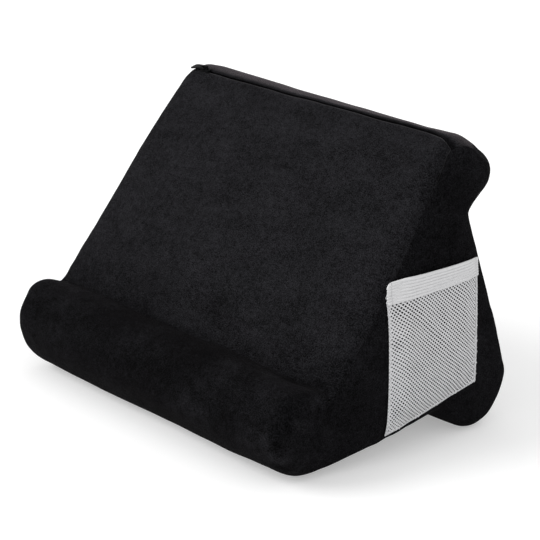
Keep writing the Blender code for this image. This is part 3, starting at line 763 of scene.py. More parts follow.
# Soft wrinkles as (one end, other end, width, depth), in millimetres
WRINKLES = (
    ((-16, 44, 199), (22, 41, 195), 2.6, 0.55),
    ((16, 42, 196), (40, 36, 188), 3.4, 0.35),
    ((143, -60, 62), (104, -68, 60), 4.5, 1.5),
    ((146, -72, 60), (128, -84, 62), 3.6, 1.2),
    ((146, -88, 52), (124, -98, 40), 4.0, 1.2),
    ((146, -84, 38), (134, -100, 30), 3.6, 1.1),
    ((147, -80, 16), (128, -96, 14), 4.0, 1.2),
    ((147, -66, 52), (146, -52, 30), 5.0, 0.8),
    ((147, -76, 48), (146, -70, 24), 4.5, 0.7),
    ((-133, -78, 67), (-124, -99, 48), 2.8, 1.3),
    ((-126, -97, 53), (-117, -101, 22), 3.0, 1.2),
    ((-153, -88, 52), (-136, -97, 44), 4.0, 0.2),
    ((-153, -92, 30), (-128, -101, 26), 4.5, 0.9),
    ((-151, -60, 62), (-110, -68, 61), 4.5, 0.8),
    ((144, 86, 24), (112, 98, 30), 4.5, 0.8),
    ((-150, 84, 24), (-116, 98, 30), 4.5, 0.8),
    ((142, 84, 170), (112, 90, 168), 4.0, 0.6),
    ((-147, 84, 170), (-118, 90, 168), 4.0, 0.6),
    ((146, 60, 66), (144, 82, 92), 5.0, 0.6),
)


def wrinkles(coords):
    """How deep each point lies in a soft wrinkle of the plush."""
    depth = np.zeros(len(coords))
    for start, end, width, deep in WRINKLES:
        start, end = np.array(start) * MM, np.array(end) * MM
        length = end - start
        along = np.clip((coords - start) @ length / (length @ length), 0, 1)
        away = np.linalg.norm(coords - (start + along[:, None] * length), axis=1)
        fade = np.sin(np.pi * np.clip(along, 0.04, 0.96)) ** 0.5
        depth += deep * MM * fade * bell(away, width * MM)
    return depth


# How the seams draw the form, in millimetres: the lower corners up, as (y, rise), the left end
# in, as (z, step), and the zip's seam forward past the zip's right end, as (x, shift)
FOOT_RISE = (
    (-100, 4.0), (-90, 3.2), (-75, 1.4), (-45, 1.2), (-25, 1.6), (-8, 0.8), (5, 0.5), (20, 1.2),
    (45, 0.5), (75, 0.4), (100, 1.2),
)
LEFT_STEP = (
    (0, 0.0), (30, 0.2), (50, 0.4), (66, 0.9), (90, 2.0), (105, 2.4), (120, 2.3), (140, 1.8),
    (160, 0.9), (185, 0.0), (205, 0.0),
)
SEAM_FORWARD = (
    (104, 0.0), (112, 0.1), (118, 0.4), (125, 1.6), (134, 3.2), (146, 4.0), (156, 4.0),
)
# Places where the right end stands out more, as (place, reach, push) in millimetres
FULLER = (((147, 64, 194), 11, (0.8, 0.7, 1.1)), ((143, 93, 17), 13, (1.6, 2.8, 0.0)))


def waver(coords, scale, seed):
    """A smooth random swing along the pillow's width."""
    return np.array([noise.noise(Vector((x * scale, *seed))) for x in coords[:, 0]])


def seam_waver(coords):
    """How far the zip's seam and the crease's seam waver from their straight lines."""
    _, behind, over = by_zip(coords).T / MM
    forward = np.interp(coords[:, 0] / MM, *zip(*SEAM_FORWARD))
    forward += 0.5 * waver(coords, 34.0, (0.7, 0.2))
    forward *= bell(behind, 10) * bell(over, 14)
    from_crease = np.hypot(*((coords[:, 1:] - front_crease()) / MM).T)
    aside = waver(coords, 22.0, (0.4, 1.7)) * bell(from_crease, 7)
    return MM * (np.outer(aside, (0, 0.9, 1.1)) - np.outer(forward, ZIP_REARWARD + 0.35 * ZIP_OUT))


def drawn_in(coords):
    """The form as its seams draw it: wavering, its lower corners up and its left end in."""
    drawn = coords + seam_waver(coords)
    for centre, reach, push in FULLER:
        away = np.linalg.norm(coords / MM - centre, axis=1)
        drawn += MM * np.outer(bell(away, reach), push)
    x, y, z = coords.T / MM
    x = x - MIDDLE.x / MM
    right = x > 0
    corner = np.clip((np.abs(x) - np.where(right, 80, 98)) / 54, 0, 1) ** 1.6
    low = np.clip(1 - z / 50, 0, 1)
    rise = np.interp(y, *zip(*FOOT_RISE)) * np.where(right, 1.0, 0.6)
    drawn[:, 2] += MM * rise * corner * low
    behind_face = (np.array(ZIP_POINT) - coords) @ np.array(FACE_NORMAL) / MM
    near_face = 1 - 0.6 * np.clip(behind_face / 80, 0, 1)
    step = np.interp(z, *zip(*LEFT_STEP)) * np.clip((-x - 105) / 40, 0, 1)
    drawn[:, 0] += MM * step * near_face
    drawn[:, 2] = np.maximum(drawn[:, 2], 0.0)
    return drawn


PUCKER_LIMIT = 22 * MM
LOW_END_HEIGHT = 75 * MM


def puckers(coords, seams, depth):
    """How far the seams' stitches draw the plush in, in short gathers across each seam."""
    tree = KDTree(len(seams))
    for k in seams:
        tree.insert(coords[k], k)
    tree.balance()
    drawn = np.zeros(len(coords))
    for k, place in enumerate(coords):
        sewn, _, away = tree.find(place)
        if away > PUCKER_LIMIT:
            continue
        gather = 0.5 + swing(sewn, (120.0, 0.9), (260.0, 0.6))
        low_end = abs(sewn.x - MIDDLE.x) > FLAT_HALF - 2 * MM and sewn.z < LOW_END_HEIGHT
        reach, strength = (9 * MM, 1.7) if low_end else (6 * MM, 1.0)
        start = min(1, away / (2 * MM) + 0.35)
        drawn[k] = depth * strength * gather * bell(away, reach) * start
    return drawn


SLIT_ABOUT, SLIT_UNDER, SLIT_FADE = 1.0 * MM, 4 * MM, 5 * MM
SLIT_END = ZIP_HALF - 2 * MM
EDGE_OVERLAP = 0.7 * MM
# How light a fold is drawn on the rim, beside it and where it turns under: partly the plush's ground,
# partly a painted highlight
FOLDED_LIGHT, BESIDE_LIGHT, UNDER_LIGHT = 1.0, 0.05, 0.6


def sewn_edge(vert, outward, cover, zip_slit, seed):
    """(step back from the seam, turn in under the plush) at this point of a panel's edge."""
    faces = vert.link_faces
    inward = sum((face.calc_center_median() for face in faces), Vector()) / len(faces) - vert.co
    inward -= vert.normal * inward.dot(vert.normal)
    inward.normalize()
    local = ZIP_FRAME.inverted() @ vert.co
    gap = cover.seam_gap
    if zip_slit and abs(local.y) < SLIT_ABOUT and abs(local.z) < SLIT_UNDER:
        past = max(0.0, abs(local.x) - SLIT_END)
        wavers = 1 + 0.45 * noise.noise(Vector((vert.co.x * 45.0, seed, 0.5)))
        gap += max(0.0, zip_slit / 2 - gap) * max(0.0, 1 - past / SLIT_FADE) * wavers
    turned_in = outward * cover.seam_depth
    if gap <= 2 * cover.seam_gap:
        turned_in += inward * (gap + EDGE_OVERLAP)
    return inward * gap, turned_in


def border_of(shape):
    """The open edges of this mesh and their vertices."""
    edges = [edge for edge in shape.edges if edge.is_boundary]
    return edges, {vert for edge in edges for vert in edge.verts}


def place_key(vert):
    return tuple(round(c, 7) for c in vert.co)


def cut_panel(name, coords, normals, faces, cover, zip_slit):
    """One panel of the cover as a closed sheet, its sewn edges turned in along these normals."""
    used = sorted({k for face in faces for k in face})
    shape = bmesh.new()
    fold = shape.verts.layers.float.new("fold")
    verts = {k: shape.verts.new(coords[k]) for k in used}
    outward = {verts[k]: Vector(normals[k]) for k in used}
    for face in faces:
        shape.faces.new([verts[k] for k in face])
    shape.normal_update()
    moves = {
        vert: sewn_edge(vert, outward[vert], cover, zip_slit, len(faces))
        for vert in border_of(shape)[1]
    }
    turns = {}
    for vert, (step, turned_in) in moves.items():
        vert.co += step
        turns[place_key(vert)] = turned_in
    bmesh.ops.inset_region(
        shape, faces=shape.faces[:], thickness=cover.seam_round, use_boundary=True,
        use_even_offset=False,
    )
    border, rim = border_of(shape)
    # Fold lightness on the rim and beside it: partly the plush's ground where the pile parts, partly a
    # painted highlight
    for vert in shape.verts:
        beside = any(edge.other_vert(vert) in rim for edge in vert.link_edges)
        vert[fold] = FOLDED_LIGHT if vert in rim else BESIDE_LIGHT * beside
    raised = bmesh.ops.extrude_edge_only(shape, edges=border)["geom"]
    for vert in (item for item in raised if isinstance(item, bmesh.types.BMVert)):
        vert.co -= turns[place_key(vert)]
        vert[fold] = UNDER_LIGHT
    mesh = bpy.data.meshes.new(name)
    shape.to_mesh(mesh)
    shape.free()
    made = new_object(name, mesh)
    thickened(made, cover.fabric, -1)
    smoothed(made)
    for vert in made.data.vertices:
        vert.co.z = max(vert.co.z, 0.0)
    return made


def shaped_skin(cover):
    """The skin pressed out, wrinkled and drawn in: (coordinates, normals, faces, panels)."""
    coords, faces, panels, seams = skin(cover.cell, cover.inset)
    whole = new_piece("cover_skin", coords, faces)
    coords = settled(whole, seams, cover.pressure, cover.swell)
    normals = moved_to(whole, coords)
    lumps = np.array([soft_lumps(p) for p in coords])
    lumps[seams] *= 0.3
    lumps -= puckers(coords, seams, cover.pucker)
    lumps += lip_fullness(coords) + front_fullness(coords) - wrinkles(coords)
    coords = drawn_in(coords + normals * lumps[:, None])
    normals = moved_to(whole, coords)
    bpy.data.objects.remove(whole)
    return coords, normals, faces, panels


class PILLOW_OT_cover(bpy.types.Operator):
    """Makes the six sewn panels of the plush cover, pressed out by the foam"""

    bl_idname = "pillow.cover"
    bl_label = "Plush cover"

    def execute(self, context):
        cover = context.scene.pillow_cover
        coords, normals, faces, panels = shaped_skin(cover)
        look = plush_look(context.scene.pillow_colours)
        for label, (piece, solid, *_) in enumerate(LONG_PANELS + END_PANELS):
            own = [face for face, panel in zip(faces, panels) if panel == label]
            by_slit = solid in ("top_lip_panel", "front_panel")
            slit = context.scene.pillow_zip.slit if by_slit else 0.0
            made = cut_panel(piece, coords, normals, own, cover, slit)
            paint(made, solid)
            finish_piece(made, "pillow", [solid], look)
        return {"FINISHED"}


# How light the plush is drawn on each panel, partly for the way its pile lies and partly as painted
# light for how that side is lit, and how much that swings
PILE_AND_LIGHT = {
    "front_panel": (0.36, 0.15), "front_lip_panel": (0.04, 0.26), "rear_panel": (0.38, 0.20),
    "top_lip_panel": (0.60, 0.20), "end_panel_left": (0.34, 0.20),
    "end_panel_right": (0.31, 0.20),
}
# Patches where the plush is drawn lighter, as (place, reach, amount), in millimetres
LIGHTER_PATCHES = (
    ((138, -98, 26), 10, 0.55), ((141, -91, 12), 9, 0.60), ((146, -84, 46), 7, 0.45),
    ((146, -68, 59), 6, 0.35), ((118, -100, 34), 11, 0.20), ((146, -60, 24), 12, 0.15),
    ((-100, -88, 62), 16, 0.22), ((-20, -92, 58), 18, 0.10), ((60, -98, 40), 16, 0.16),
)


def paint(made, solid):
    """Writes how light the plush is drawn, for the way its pile lies and as painted light and shade,
    and how light it is where it is folded along a seam.
    """
    pile_and_light = made.data.attributes.new("pile_and_light", "FLOAT", "POINT")
    fold = made.data.attributes["fold"]
    to_zip = ZIP_FRAME.inverted()
    even, uneven = PILE_AND_LIGHT[solid]
    places = np.array([vert.co for vert in made.data.vertices]) / MM
    patches = sum(
        amount * bell(np.linalg.norm(places - place, axis=1), reach)
        for place, reach, amount in LIGHTER_PATCHES
    )
    patches *= 1 + 1.6 * np.array([noise.noise(Vector(place) * 0.11) for place in places])
    # How deep each point lies in a wrinkle, for the painted shade drawn there
    deep = wrinkles(places * MM) / MM
    for k, vert in enumerate(made.data.vertices):
        # The panel's level, lighter patches, the panel's painted light, and painted shade in the
        # wrinkles
        lightness = even + patches[k] + painted_panel_light(solid, vert, to_zip @ vert.co) - 0.22 * deep[k]
        brushed = swing(vert.co, (22.0, 1.0), (48.0, 0.6), (130.0, 0.45))
        pile_and_light.data[k].value = max(0.0, lightness + uneven * brushed)
        fold.data[k].value *= fold_light(solid, to_zip @ vert.co, vert.co)


def painted_panel_light(solid, vert, in_zip_frame):
    """How much lighter than its panel the plush is drawn at this point, as painted light and shade."""
    lightness = 0.0
    # Painted light on the front face where it turns to the light and higher up, and painted shade low
    # on it by the lip
    if solid == "front_panel":
        facing = max(0.0, vert.normal.dot(FACE_NORMAL))
        height = vert.co.z
        lightness += (0.54 + 1.2 * (height - 0.10) - 9.0 * max(0.0, 0.098 - height)) * facing**2.5
    # Painted light towards the front lip's ends
    if solid == "front_lip_panel":
        lightness += 0.28 * (vert.co.x / (WIDTH / 2)) ** 2
    # Painted shade in the front crease
    if solid in ("front_panel", "front_lip_panel"):
        lightness -= 0.16 * bell(math.dist(vert.co.yz, CREASE_PLACE), 4 * MM)
    # Painted shade along the slit and a painted highlight behind it
    if solid == "top_lip_panel":
        lightness += top_lip_painted_light(in_zip_frame / MM)
    return lightness


CREASE_PLACE = tuple(front_crease())


def top_lip_painted_light(place):
    """Painted light and shade on the top lip by the zip: painted shade along the slit, then a painted
    highlight behind it.
    """
    if abs(place.z) > 18:
        return 0.0
    lit = ease((place.y - 1.3) / 4.2) * (1 - ease((place.y - 14) / 14))
    lit *= ease((153 - place.x) / 18) * ease((place.x + 152) / 18)
    lit *= ease((18 - abs(place.z)) / 8)
    dark = 1 - ease((place.y - 0.5) / 1.7)
    return 1.35 * lit - 0.75 * dark


def fold_light(solid, in_zip_frame, place):
    """How light a panel's edge is at this place: most along the zip, where the fold shows its ground
    and a painted highlight, and round its right end, as a painted highlight.
    """
    at_zip = abs(in_zip_frame.y) < 2.5 * MM and abs(in_zip_frame.z) < 4 * MM
    if solid == "front_panel":
        if at_zip:
            return 0.95
        # Painted highlight down the face's right rim, strongest towards the top corner
        if place.x > 0.12 and place.z > 0.06:
            return 0.03 + 0.28 * max(0.0, (place.z - 0.165) / 0.035) ** 1.5
    if solid == "top_lip_panel" and at_zip:
        return 0.0
    if solid in ("front_panel", "front_lip_panel") and place.z < 0.09:
        return max(0.0, 0.025 + 0.05 * noise.noise(place * 30.0))
    return 0.015


class PILLOW_OT_foam(bpy.types.Operator):
    """Makes the foam wedge that fills the cover, with a channel behind the zip"""

    bl_idname = "pillow.foam"
    bl_label = "Foam wedge"

    def execute(self, context):
        coords, faces, _, _ = skin(FOAM_CELL, context.scene.pillow_cover.foam_depth)
        x, behind, over = by_zip(coords).T
        channel = np.clip(1 - np.abs(behind) / CHANNEL_HALF, 0, 1) * (np.abs(over) < CHANNEL_RISE)
        channel *= np.abs(x) < ZIP_HALF + CHANNEL_DEPTH
        made = new_piece("foam_wedge", coords - np.outer(channel * CHANNEL_DEPTH, ZIP_OUT), faces)
        smoothed(made)
        look = grained_look(
            "open_cell_foam", context.scene.pillow_colours.foam, 900.0, 0.35,
            (("Roughness", 0.9),), 0.6, 0.6 * MM,
        )
        finish_piece(made, "pillow", ["foam_core"], look)
        return {"FINISHED"}


FOAM_CELL = 8 * MM
CHANNEL_HALF, CHANNEL_RISE, CHANNEL_DEPTH = 11 * MM, 12 * MM, 4 * MM


# The zip, in its own frame


ZIP_TAPE_WIDTH, TAPE_EDGE, TAPE_THICKNESS = 10 * MM, 0.65 * MM, 0.45 * MM
COIL_WIRE, COIL_RADIUS, COIL_SIDE, COIL_END = 0.2 * MM, 0.7 * MM, 1.8 * MM, 3.8 * MM
COIL_WIDENING = 1.42
COIL_LEVEL = -3.98 * MM
CAP_HALF = (4.5 * MM, 3.0 * MM)
NECK_LENGTH, NECK_HALF = 3.0 * MM, 0.55 * MM
PLATE_HALF = (4.5 * MM, 3.8 * MM)
FLANGE_HALF, FLANGE_INNER = 3.0 * MM, 3.0 * MM
CAP_LOW, CAP_HIGH = 0.3 * MM, 1.3 * MM
PLATE_LOW, PLATE_HIGH = -6.2 * MM, -5.2 * MM
SUNK_IN = 0.5 * MM
PIVOT_HEIGHT = 2.45 * MM
BAIL_WIRE, BAIL_REACH, BAIL_CORNER, BAIL_ROOM = 0.35 * MM, 2.35 * MM, 1.0 * MM, 2.3 * MM
BAIL_WIDENING = 1.9
ZIP_STOPS = {
    "zipper_bottom_stop": ((0.122, -0.0027, -0.00488), (0.125, 0.0027, -0.0031)),
    "zipper_top_stop_front": ((-0.125, -0.0027, -0.00488), (-0.122, -0.0009, -0.0031)),
    "zipper_top_stop_rear": ((-0.125, 0.0009, -0.00488), (-0.122, 0.0027, -0.0031)),
}
# Half of the pull tab's outline and of its eye's, as (x, y) in millimetres from its pivot
TAB_OUTLINE = ((0.6, 2.4), (-5.2, 2.4), (-12.4, 3.0), (-13.9, 3.0), (-14.9, 2.6), (-15.4, 1.6))
TAB_EYE = ((-0.6, 1.1), (-2.2, 1.1), (-3.5, 1.1), (-3.9, 0.7), (-3.9, 0.3), (-3.9, 0.1))
TAB_THICKNESS, TAB_BEVEL = 1.0 * MM, 0.18 * MM


def rounded_block(name, low, high, bevel, segments=3):
    """A block between these corners, modelled from a cube with its edges rolled over."""
    bpy.ops.mesh.primitive_cube_add(size=1)
    made = bpy.context.object
    made.name = made.data.name = name
    low, high = Vector(low), Vector(high)
    edit(made, "SELECT")
    bpy.ops.transform.resize(value=high - low)
    bpy.ops.transform.translate(value=(low + high) / 2)
    bpy.ops.mesh.bevel(offset=bevel, offset_type="OFFSET", segments=segments, profile=0.6)
    leave_edit()
    made.data.shade_smooth()
    return made


def centred_block(name, half, low, high, bevel):
    """A rounded block over the zip's line, with these half sizes and between these heights."""
    return rounded_block(name, (-half[0], -half[1], low), (*half, high), bevel)


def zip_tape(name, side):
    """One woven tape, from the slit outwards under the plush."""
    columns = [TAPE_EDGE + s for s in spread(0.0, ZIP_TAPE_WIDTH, 7)]
    rows = np.linspace(-ZIP_HALF, ZIP_HALF, 126)
    coords = []
    for x in rows:
        for s in columns:
            sunk = 2.55 * MM + 0.17 * s + 0.06 * MM * math.sin(x / (1.9 * MM) + side)
            point = on_form(np.array(ZIP_LINE + side * s), np.array(x), np.array(0.0), sunk)
            coords.append((MIDDLE.x + x, *point[1:]))
    faces = strip_faces(len(rows), len(columns))
    made = new_piece(name, coords, faces if side > 0 else [face[::-1] for face in faces])
    thickened(made, TAPE_THICKNESS, 0)
    return made


def zip_coil(name, side, pitch):
    """One nylon coil: a round filament wound along the tape's edge."""
    bpy.ops.mesh.primitive_circle_add(
        vertices=8, radius=COIL_WIRE, fill_type="NOTHING", rotation=(math.pi / 2, 0, 0),
    )
    made = bpy.context.object
    made.name = made.data.name = name
    bpy.ops.object.transform_apply(location=True, rotation=True, scale=True)
    edit(made, "SELECT")
    bpy.ops.transform.translate(value=(0, 0, COIL_RADIUS))
    leave_edit()
    turns = int(2 * (ZIP_HALF - COIL_END) / pitch)
    wind = made.modifiers.new("turns", "SCREW")
    wind.axis = "X"
    wind.angle = math.tau
    wind.screw_offset = pitch
    wind.iterations = turns
    wind.steps = wind.render_steps = 12
    apply_modifiers(made)
    edit(made)
    bpy.ops.mesh.select_non_manifold(
        extend=False, use_wire=False, use_multi_face=False, use_non_contiguous=False,
        use_verts=False,
    )
    bpy.ops.mesh.fill()
    bpy.ops.mesh.select_all(action="SELECT")
    bpy.ops.mesh.normals_make_consistent(inside=False)
    bpy.ops.transform.resize(value=(1, COIL_WIDENING, 1))
    leave_edit()
    start = Vector((-turns * pitch / 2, -side * COIL_SIDE, COIL_LEVEL))
    settle_in(made, ZIP_FRAME @ Matrix.Translation(start))
    made.data.shade_smooth()
    return made


def zip_slider():
    """The slider: a domed cap over the slit, a neck, a plate round the coils and a bail."""
    cap = centred_block("zip_slider", CAP_HALF, CAP_LOW, CAP_HIGH, 0.45 * MM)
    for vert in cap.data.vertices:
        vert.co.y *= 1 - 0.35 * (abs(vert.co.x) / CAP_HALF[0]) ** 3
    neck = rounded_block(
        "neck", (-NECK_LENGTH, -NECK_HALF, PLATE_HIGH - SUNK_IN),
        (0, NECK_HALF, CAP_LOW + SUNK_IN), 0.1 * MM, 2,
    )
    plate = centred_block("plate", PLATE_HALF, PLATE_LOW, PLATE_HIGH, 0.4 * MM)
    flanges = []
    for side in (-1, 1):
        near, far = sorted((side * FLANGE_INNER, side * PLATE_HALF[1]))
        flanges.append(rounded_block(
            "flange", (-FLANGE_HALF, near, PLATE_HIGH - SUNK_IN),
            (FLANGE_HALF, far, COIL_LEVEL), 0.15 * MM, 2,
        ))
    slider = joined(cap, neck, plate, *flanges, bail_arch())
    settle_in(slider, ZIP_FRAME @ Matrix.Translation((SLIDER_X, 0, 0)))
    return slider


def bail_arch():
    """The bail: one wire bent into an arch along the zip."""
    foot, top = CAP_HIGH - 0.4 * MM, CAP_HIGH + BAIL_ROOM + BAIL_WIRE
    path = [(-BAIL_REACH, foot)]
    for middle, start in ((BAIL_CORNER - BAIL_REACH, math.pi), (BAIL_REACH - BAIL_CORNER, math.pi / 2)):
        for a in spread(start, start - math.pi / 2, 6):
            x = middle + BAIL_CORNER * math.cos(a)
            path.append((x, top - BAIL_CORNER + BAIL_CORNER * math.sin(a)))
    path.append((BAIL_REACH, foot))
    curve = bpy.data.curves.new("bail", "CURVE")
    curve.dimensions = "3D"
    curve.bevel_depth = BAIL_WIRE
    curve.bevel_resolution = 3
    curve.use_fill_caps = True
    line = curve.splines.new("POLY")
    line.points.add(len(path) - 1)
    for point, (x, z) in zip(line.points, path):
        point.co = (x, 0, z, 1)
    only(new_object("bail", curve))
    bpy.ops.object.convert(target="MESH")
    made = bpy.context.object
    edit(made, "SELECT")
    bpy.ops.mesh.remove_doubles(threshold=0.001 * MM)
    bpy.ops.transform.resize(value=(1, BAIL_WIDENING, 1))
    leave_edit()
    return made


def pull_tab():
    """The pull tab: a flat plate with an eye, lying along the zip to the left."""
    rings = [half + tuple((x, -y) for x, y in reversed(half)) for half in (TAB_OUTLINE, TAB_EYE)]
    coords = [(x * MM, y * MM, -TAB_THICKNESS / 2) for ring in rings for x, y in ring]
    count = len(rings[0])
    faces = [(k, (k + 1) % count, count + (k + 1) % count, count + k) for k in range(count)]
    made = new_piece("zip_pull_tab", coords, faces)
    edit(made, "SELECT")
    bpy.ops.mesh.extrude_region_move(TRANSFORM_OT_translate={"value": (0, 0, TAB_THICKNESS)})
    bpy.ops.mesh.select_all(action="SELECT")
    bpy.ops.mesh.normals_make_consistent(inside=False)
    bpy.ops.mesh.bevel(offset=TAB_BEVEL, segments=2, profile=0.6)
    leave_edit()
    for vert in made.data.vertices:
        vert.co.z -= 1.7 * MM * max(0.0, (-vert.co.x / MM - 4.5) / 11) ** 1.4
    made.data.shade_smooth()
    settle_in(made, ZIP_FRAME @ Matrix.Translation((SLIDER_X, 0, PIVOT_HEIGHT)))
    return made


class PILLOW_OT_zip(bpy.types.Operator):
    """Makes the concealed zip: tapes, coils, stops, slider and pull tab"""

    bl_idname = "pillow.zip"
    bl_label = "Concealed zip"

    def execute(self, context):
        colours = context.scene.pillow_colours
        pitch = context.scene.pillow_zip.coil_pitch
        woven = woven_look("zip_tape_weave", colours.tape, 900.0, 0.3, (("Roughness", 0.85),))
        nylon = grained_look(
            "zip_nylon", colours.coil, 2500.0, 0.3, (("Roughness", 0.4),), 0.1, 0.02 * MM,
        )
        metal = grained_look(
            "zip_black_metal", colours.metal, 1800.0, 0.25,
            (("Roughness", 0.6), ("Specular IOR Level", 0.04)), 0.1, 0.02 * MM,
        )
        for label, side in (("front", 1), ("rear", -1)):
            tape = zip_tape(f"zip_tape_{label}", side)
            finish_piece(tape, "pillow", [f"zipper_tape_{label}"], woven)
            coil = zip_coil(f"zip_coil_{label}", side, pitch)
            finish_piece(coil, "pillow", [f"zipper_coil_{label}"], nylon)
        for solid, (low, high) in ZIP_STOPS.items():
            stop = rounded_block(solid.replace("zipper", "zip"), low, high, 0.35 * MM)
            settle_in(stop, ZIP_FRAME)
            finish_piece(stop, "pillow", [solid], metal)
        finish_piece(zip_slider(), "slider", ["zipper_slider"], metal)
        finish_piece(pull_tab(), "pull_tab", ["zipper_pull_tab"], metal)
        return {"FINISHED"}


# The pocket


def pocket_place(across, up):
    """(y, z) at this length across the pocket from its front edge and up from its bottom."""
    rearward, upward = across / POCKET_WIDTH, up / POCKET_HEIGHT
    low = Vector(POCKET_LOW_FRONT).lerp(Vector(POCKET_LOW_REAR), rearward)
    return low.lerp(Vector(POCKET_TOP_FRONT).lerp(Vector(POCKET_TOP_REAR), rearward), upward)


def cover_tree():
    """The cover's right side as one tree to lay the pocket on."""
    verts, faces = [], []
    for name in ("cover_right_end", "cover_front_face", "cover_rear_panel", "cover_front_lip"):
        mesh = bpy.data.objects[name].data
        start = len(verts)
        verts += [v.co.copy() for v in mesh.vertices]
        faces += [tuple(start + k for k in p.vertices) for p in mesh.polygons]
    return BVHTree.FromPolygons(verts, faces)


def inside_edge(place, first, last):
    """How far this (y, z) lies from the line through these two corners, to its right."""
    along = Vector(last) - Vector(first)
    across = Vector(place) - Vector(first)
    return (across.x * along.y - across.y * along.x) / along.length


def from_front(place):
    return inside_edge(place, POCKET_LOW_FRONT, POCKET_TOP_FRONT)


def from_rear(place):
    return -inside_edge(place, POCKET_LOW_REAR, POCKET_TOP_REAR)


def from_bottom(place):
    return -inside_edge(place, POCKET_LOW_FRONT, POCKET_LOW_REAR)


def from_top(place):
    return inside_edge(place, POCKET_TOP_FRONT, POCKET_TOP_REAR)


# Slack folds of the net as (one end, other end, width, height), in millimetres in the y-z plane
NET_FOLDS = (
    ((0, 108), (39, 66), 3.0, 0.8),
    ((-7, 104), (35, 65), 2.4, -0.7),
    ((27, 108), (37, 74), 3.2, 0.5),
    ((-13, 79), (-4, 85), 2.4, 0.7),
    ((-13, 30), (-1, 40), 2.8, 0.7),
)
# Places where the net's holes gape, as (y, z, reach) in millimetres
GAPES = ((-7, 103, 5), (-9, 81, 4), (-8, 36, 6))


def net_fold(place):
    """How far the net's folds stand out at this place in millimetres."""
    height = 0.0
    for start, end, width, peak in NET_FOLDS:
        start, end = Vector(start), Vector(end)
        share = (place - start).dot(end - start) / (end - start).length_squared
        along = min(max(share, 0.0), 1.0)
        away = (place - start.lerp(end, along)).length
        fade = math.sin(math.pi * min(max(along, 0.08), 0.92))
        height += peak * MM * math.exp(-((away / width) ** 2)) * fade
    return height


INNERMOST_COVER_X = 0.1455
RAY_START_X = 0.3
BESIDE = 0.9 * MM
CLOTH_REST = 0.45 * MM


class PocketForm:
    """Where the pocket's cloth runs: sewn down at three edges and standing off between them."""

    def __init__(self, tree):
        self.tree = tree

    def foot(self, y, z):
        """The cover's x here, past any seam that one ray could slip into."""
        found = INNERMOST_COVER_X
        for dy, dz in ((0, 0), (BESIDE, 0), (-BESIDE, 0), (0, BESIDE), (0, -BESIDE)):
            hit = self.tree.ray_cast(Vector((RAY_START_X, y + dy, z + dz)), Vector((-1, 0, 0)))[0]
            if hit:
                found = max(found, hit.x)
        return found

    def at(self, y, z, proud=0.0):
        """The cloth's point over this (y, z), with proud added to how far it stands off."""
        place = Vector((y, z))
        up = from_bottom(place)
        gather = 1 + 0.45 * noise.noise(Vector((0.3, z, 0.9)) * 75.0)
        share = ease(from_front(place) / (17 * MM * gather)) * ease(from_rear(place) / (16 * MM))
        share *= ease(up / (12 * MM))
        mouth = 1.0 * MM * ease(up / POCKET_HEIGHT)
        slack = 0.7 * MM * noise.noise(Vector((y, z, 0.4)) * 42.0)
        slack += 0.3 * MM * noise.noise(Vector((y * 1.6, z * 0.7, 1.4)) * 110.0)
        stand = NET_STAND + mouth + slack + net_fold(place / MM)
        raised = 1.7 * MM * share * ease(up / POCKET_HEIGHT)
        return Vector((self.foot(y, z) + CLOTH_REST + share * stand + proud, y, z + raised))

    def point(self, across, up, proud=0.0):
        return self.at(*pocket_place(across, up), proud)


def pocket_strip(name, columns, rows, point, thickness):
    """A closed strip of cloth over these lengths across and up, through these points."""
    coords = [point(across, up) for across in columns for up in rows]
    made = new_piece(name, coords, strip_faces(len(columns), len(rows)))
    thickened(made, thickness, 1)
    smoothed(made)
    return made


NET_TILT = math.radians(8.5)
NET_YARN = 0.3 * MM
SEWN_MARGIN = 0.5 * MM
SAME_KNOT = 0.05 * MM
LATTICE_REACH = 0.075


def pocket_net(form, pocket):
    """The net: six-sided cells in level rows, each opened by an inset, its strands with a body."""
    along, between = pocket.hole_pitch, pocket.row_pitch
    tall = (along * along / 4 + between * between) / (2 * between)
    half, low = along / 2, between - tall
    corners = ((0, tall), (half, low), (half, -low), (0, -tall), (-half, -low), (-half, low))
    middle = (Vector(POCKET_LOW_FRONT) + Vector(POCKET_TOP_REAR)) / 2
    slant = Vector((half, -between)).normalized()

    def on_lattice(a, u):
        cos, sin = math.cos(NET_TILT), math.sin(NET_TILT)
        return middle + Vector((a * cos - u * sin, a * sin + u * cos))

    def room(place):
        sewn = min(from_front(place), from_rear(place), from_bottom(place)) - SEWN_MARGIN
        return min(sewn, from_top(place) - pocket.band_width / 2)

    def knot(a, u):
        place = on_lattice(a, u)
        return net_point(form, place, room(place))

    numbers, coords, faces = {}, [], []
    rows, columns = int(LATTICE_REACH / between), int(LATTICE_REACH / along)
    for row in range(-rows, rows + 1):
        for column in range(-columns, columns + 1):
            a, u = (column + 0.5 * (row % 2)) * along, row * between
            centre = on_lattice(a, u)
            if room(centre) < 0:
                continue
            gape = hole_opening(centre / MM) * (1 - pocket.strand / between / 2) / 0.75
            outer, inner = [], []
            for da, du in corners:
                key = (round((a + da) / SAME_KNOT), round((u + du) / SAME_KNOT))
                if key not in numbers:
                    numbers[key] = len(coords)
                    coords.append(knot(a + da, u + du))
                outer.append(numbers[key])
                corner = Vector((da, du))
                lengthwise = corner.dot(slant) * slant
                hole = gape * (0.76 * lengthwise + 0.54 * (corner - lengthwise))
                inner.append(len(coords))
                coords.append(knot(a + hole.x, u + hole.y))
            faces += zip(outer, inner, inner[1:] + inner[:1], outer[1:] + outer[:1])
    made = new_piece("pocket_net_mesh", coords, faces)
    thickened(made, NET_YARN, 1)
    return made


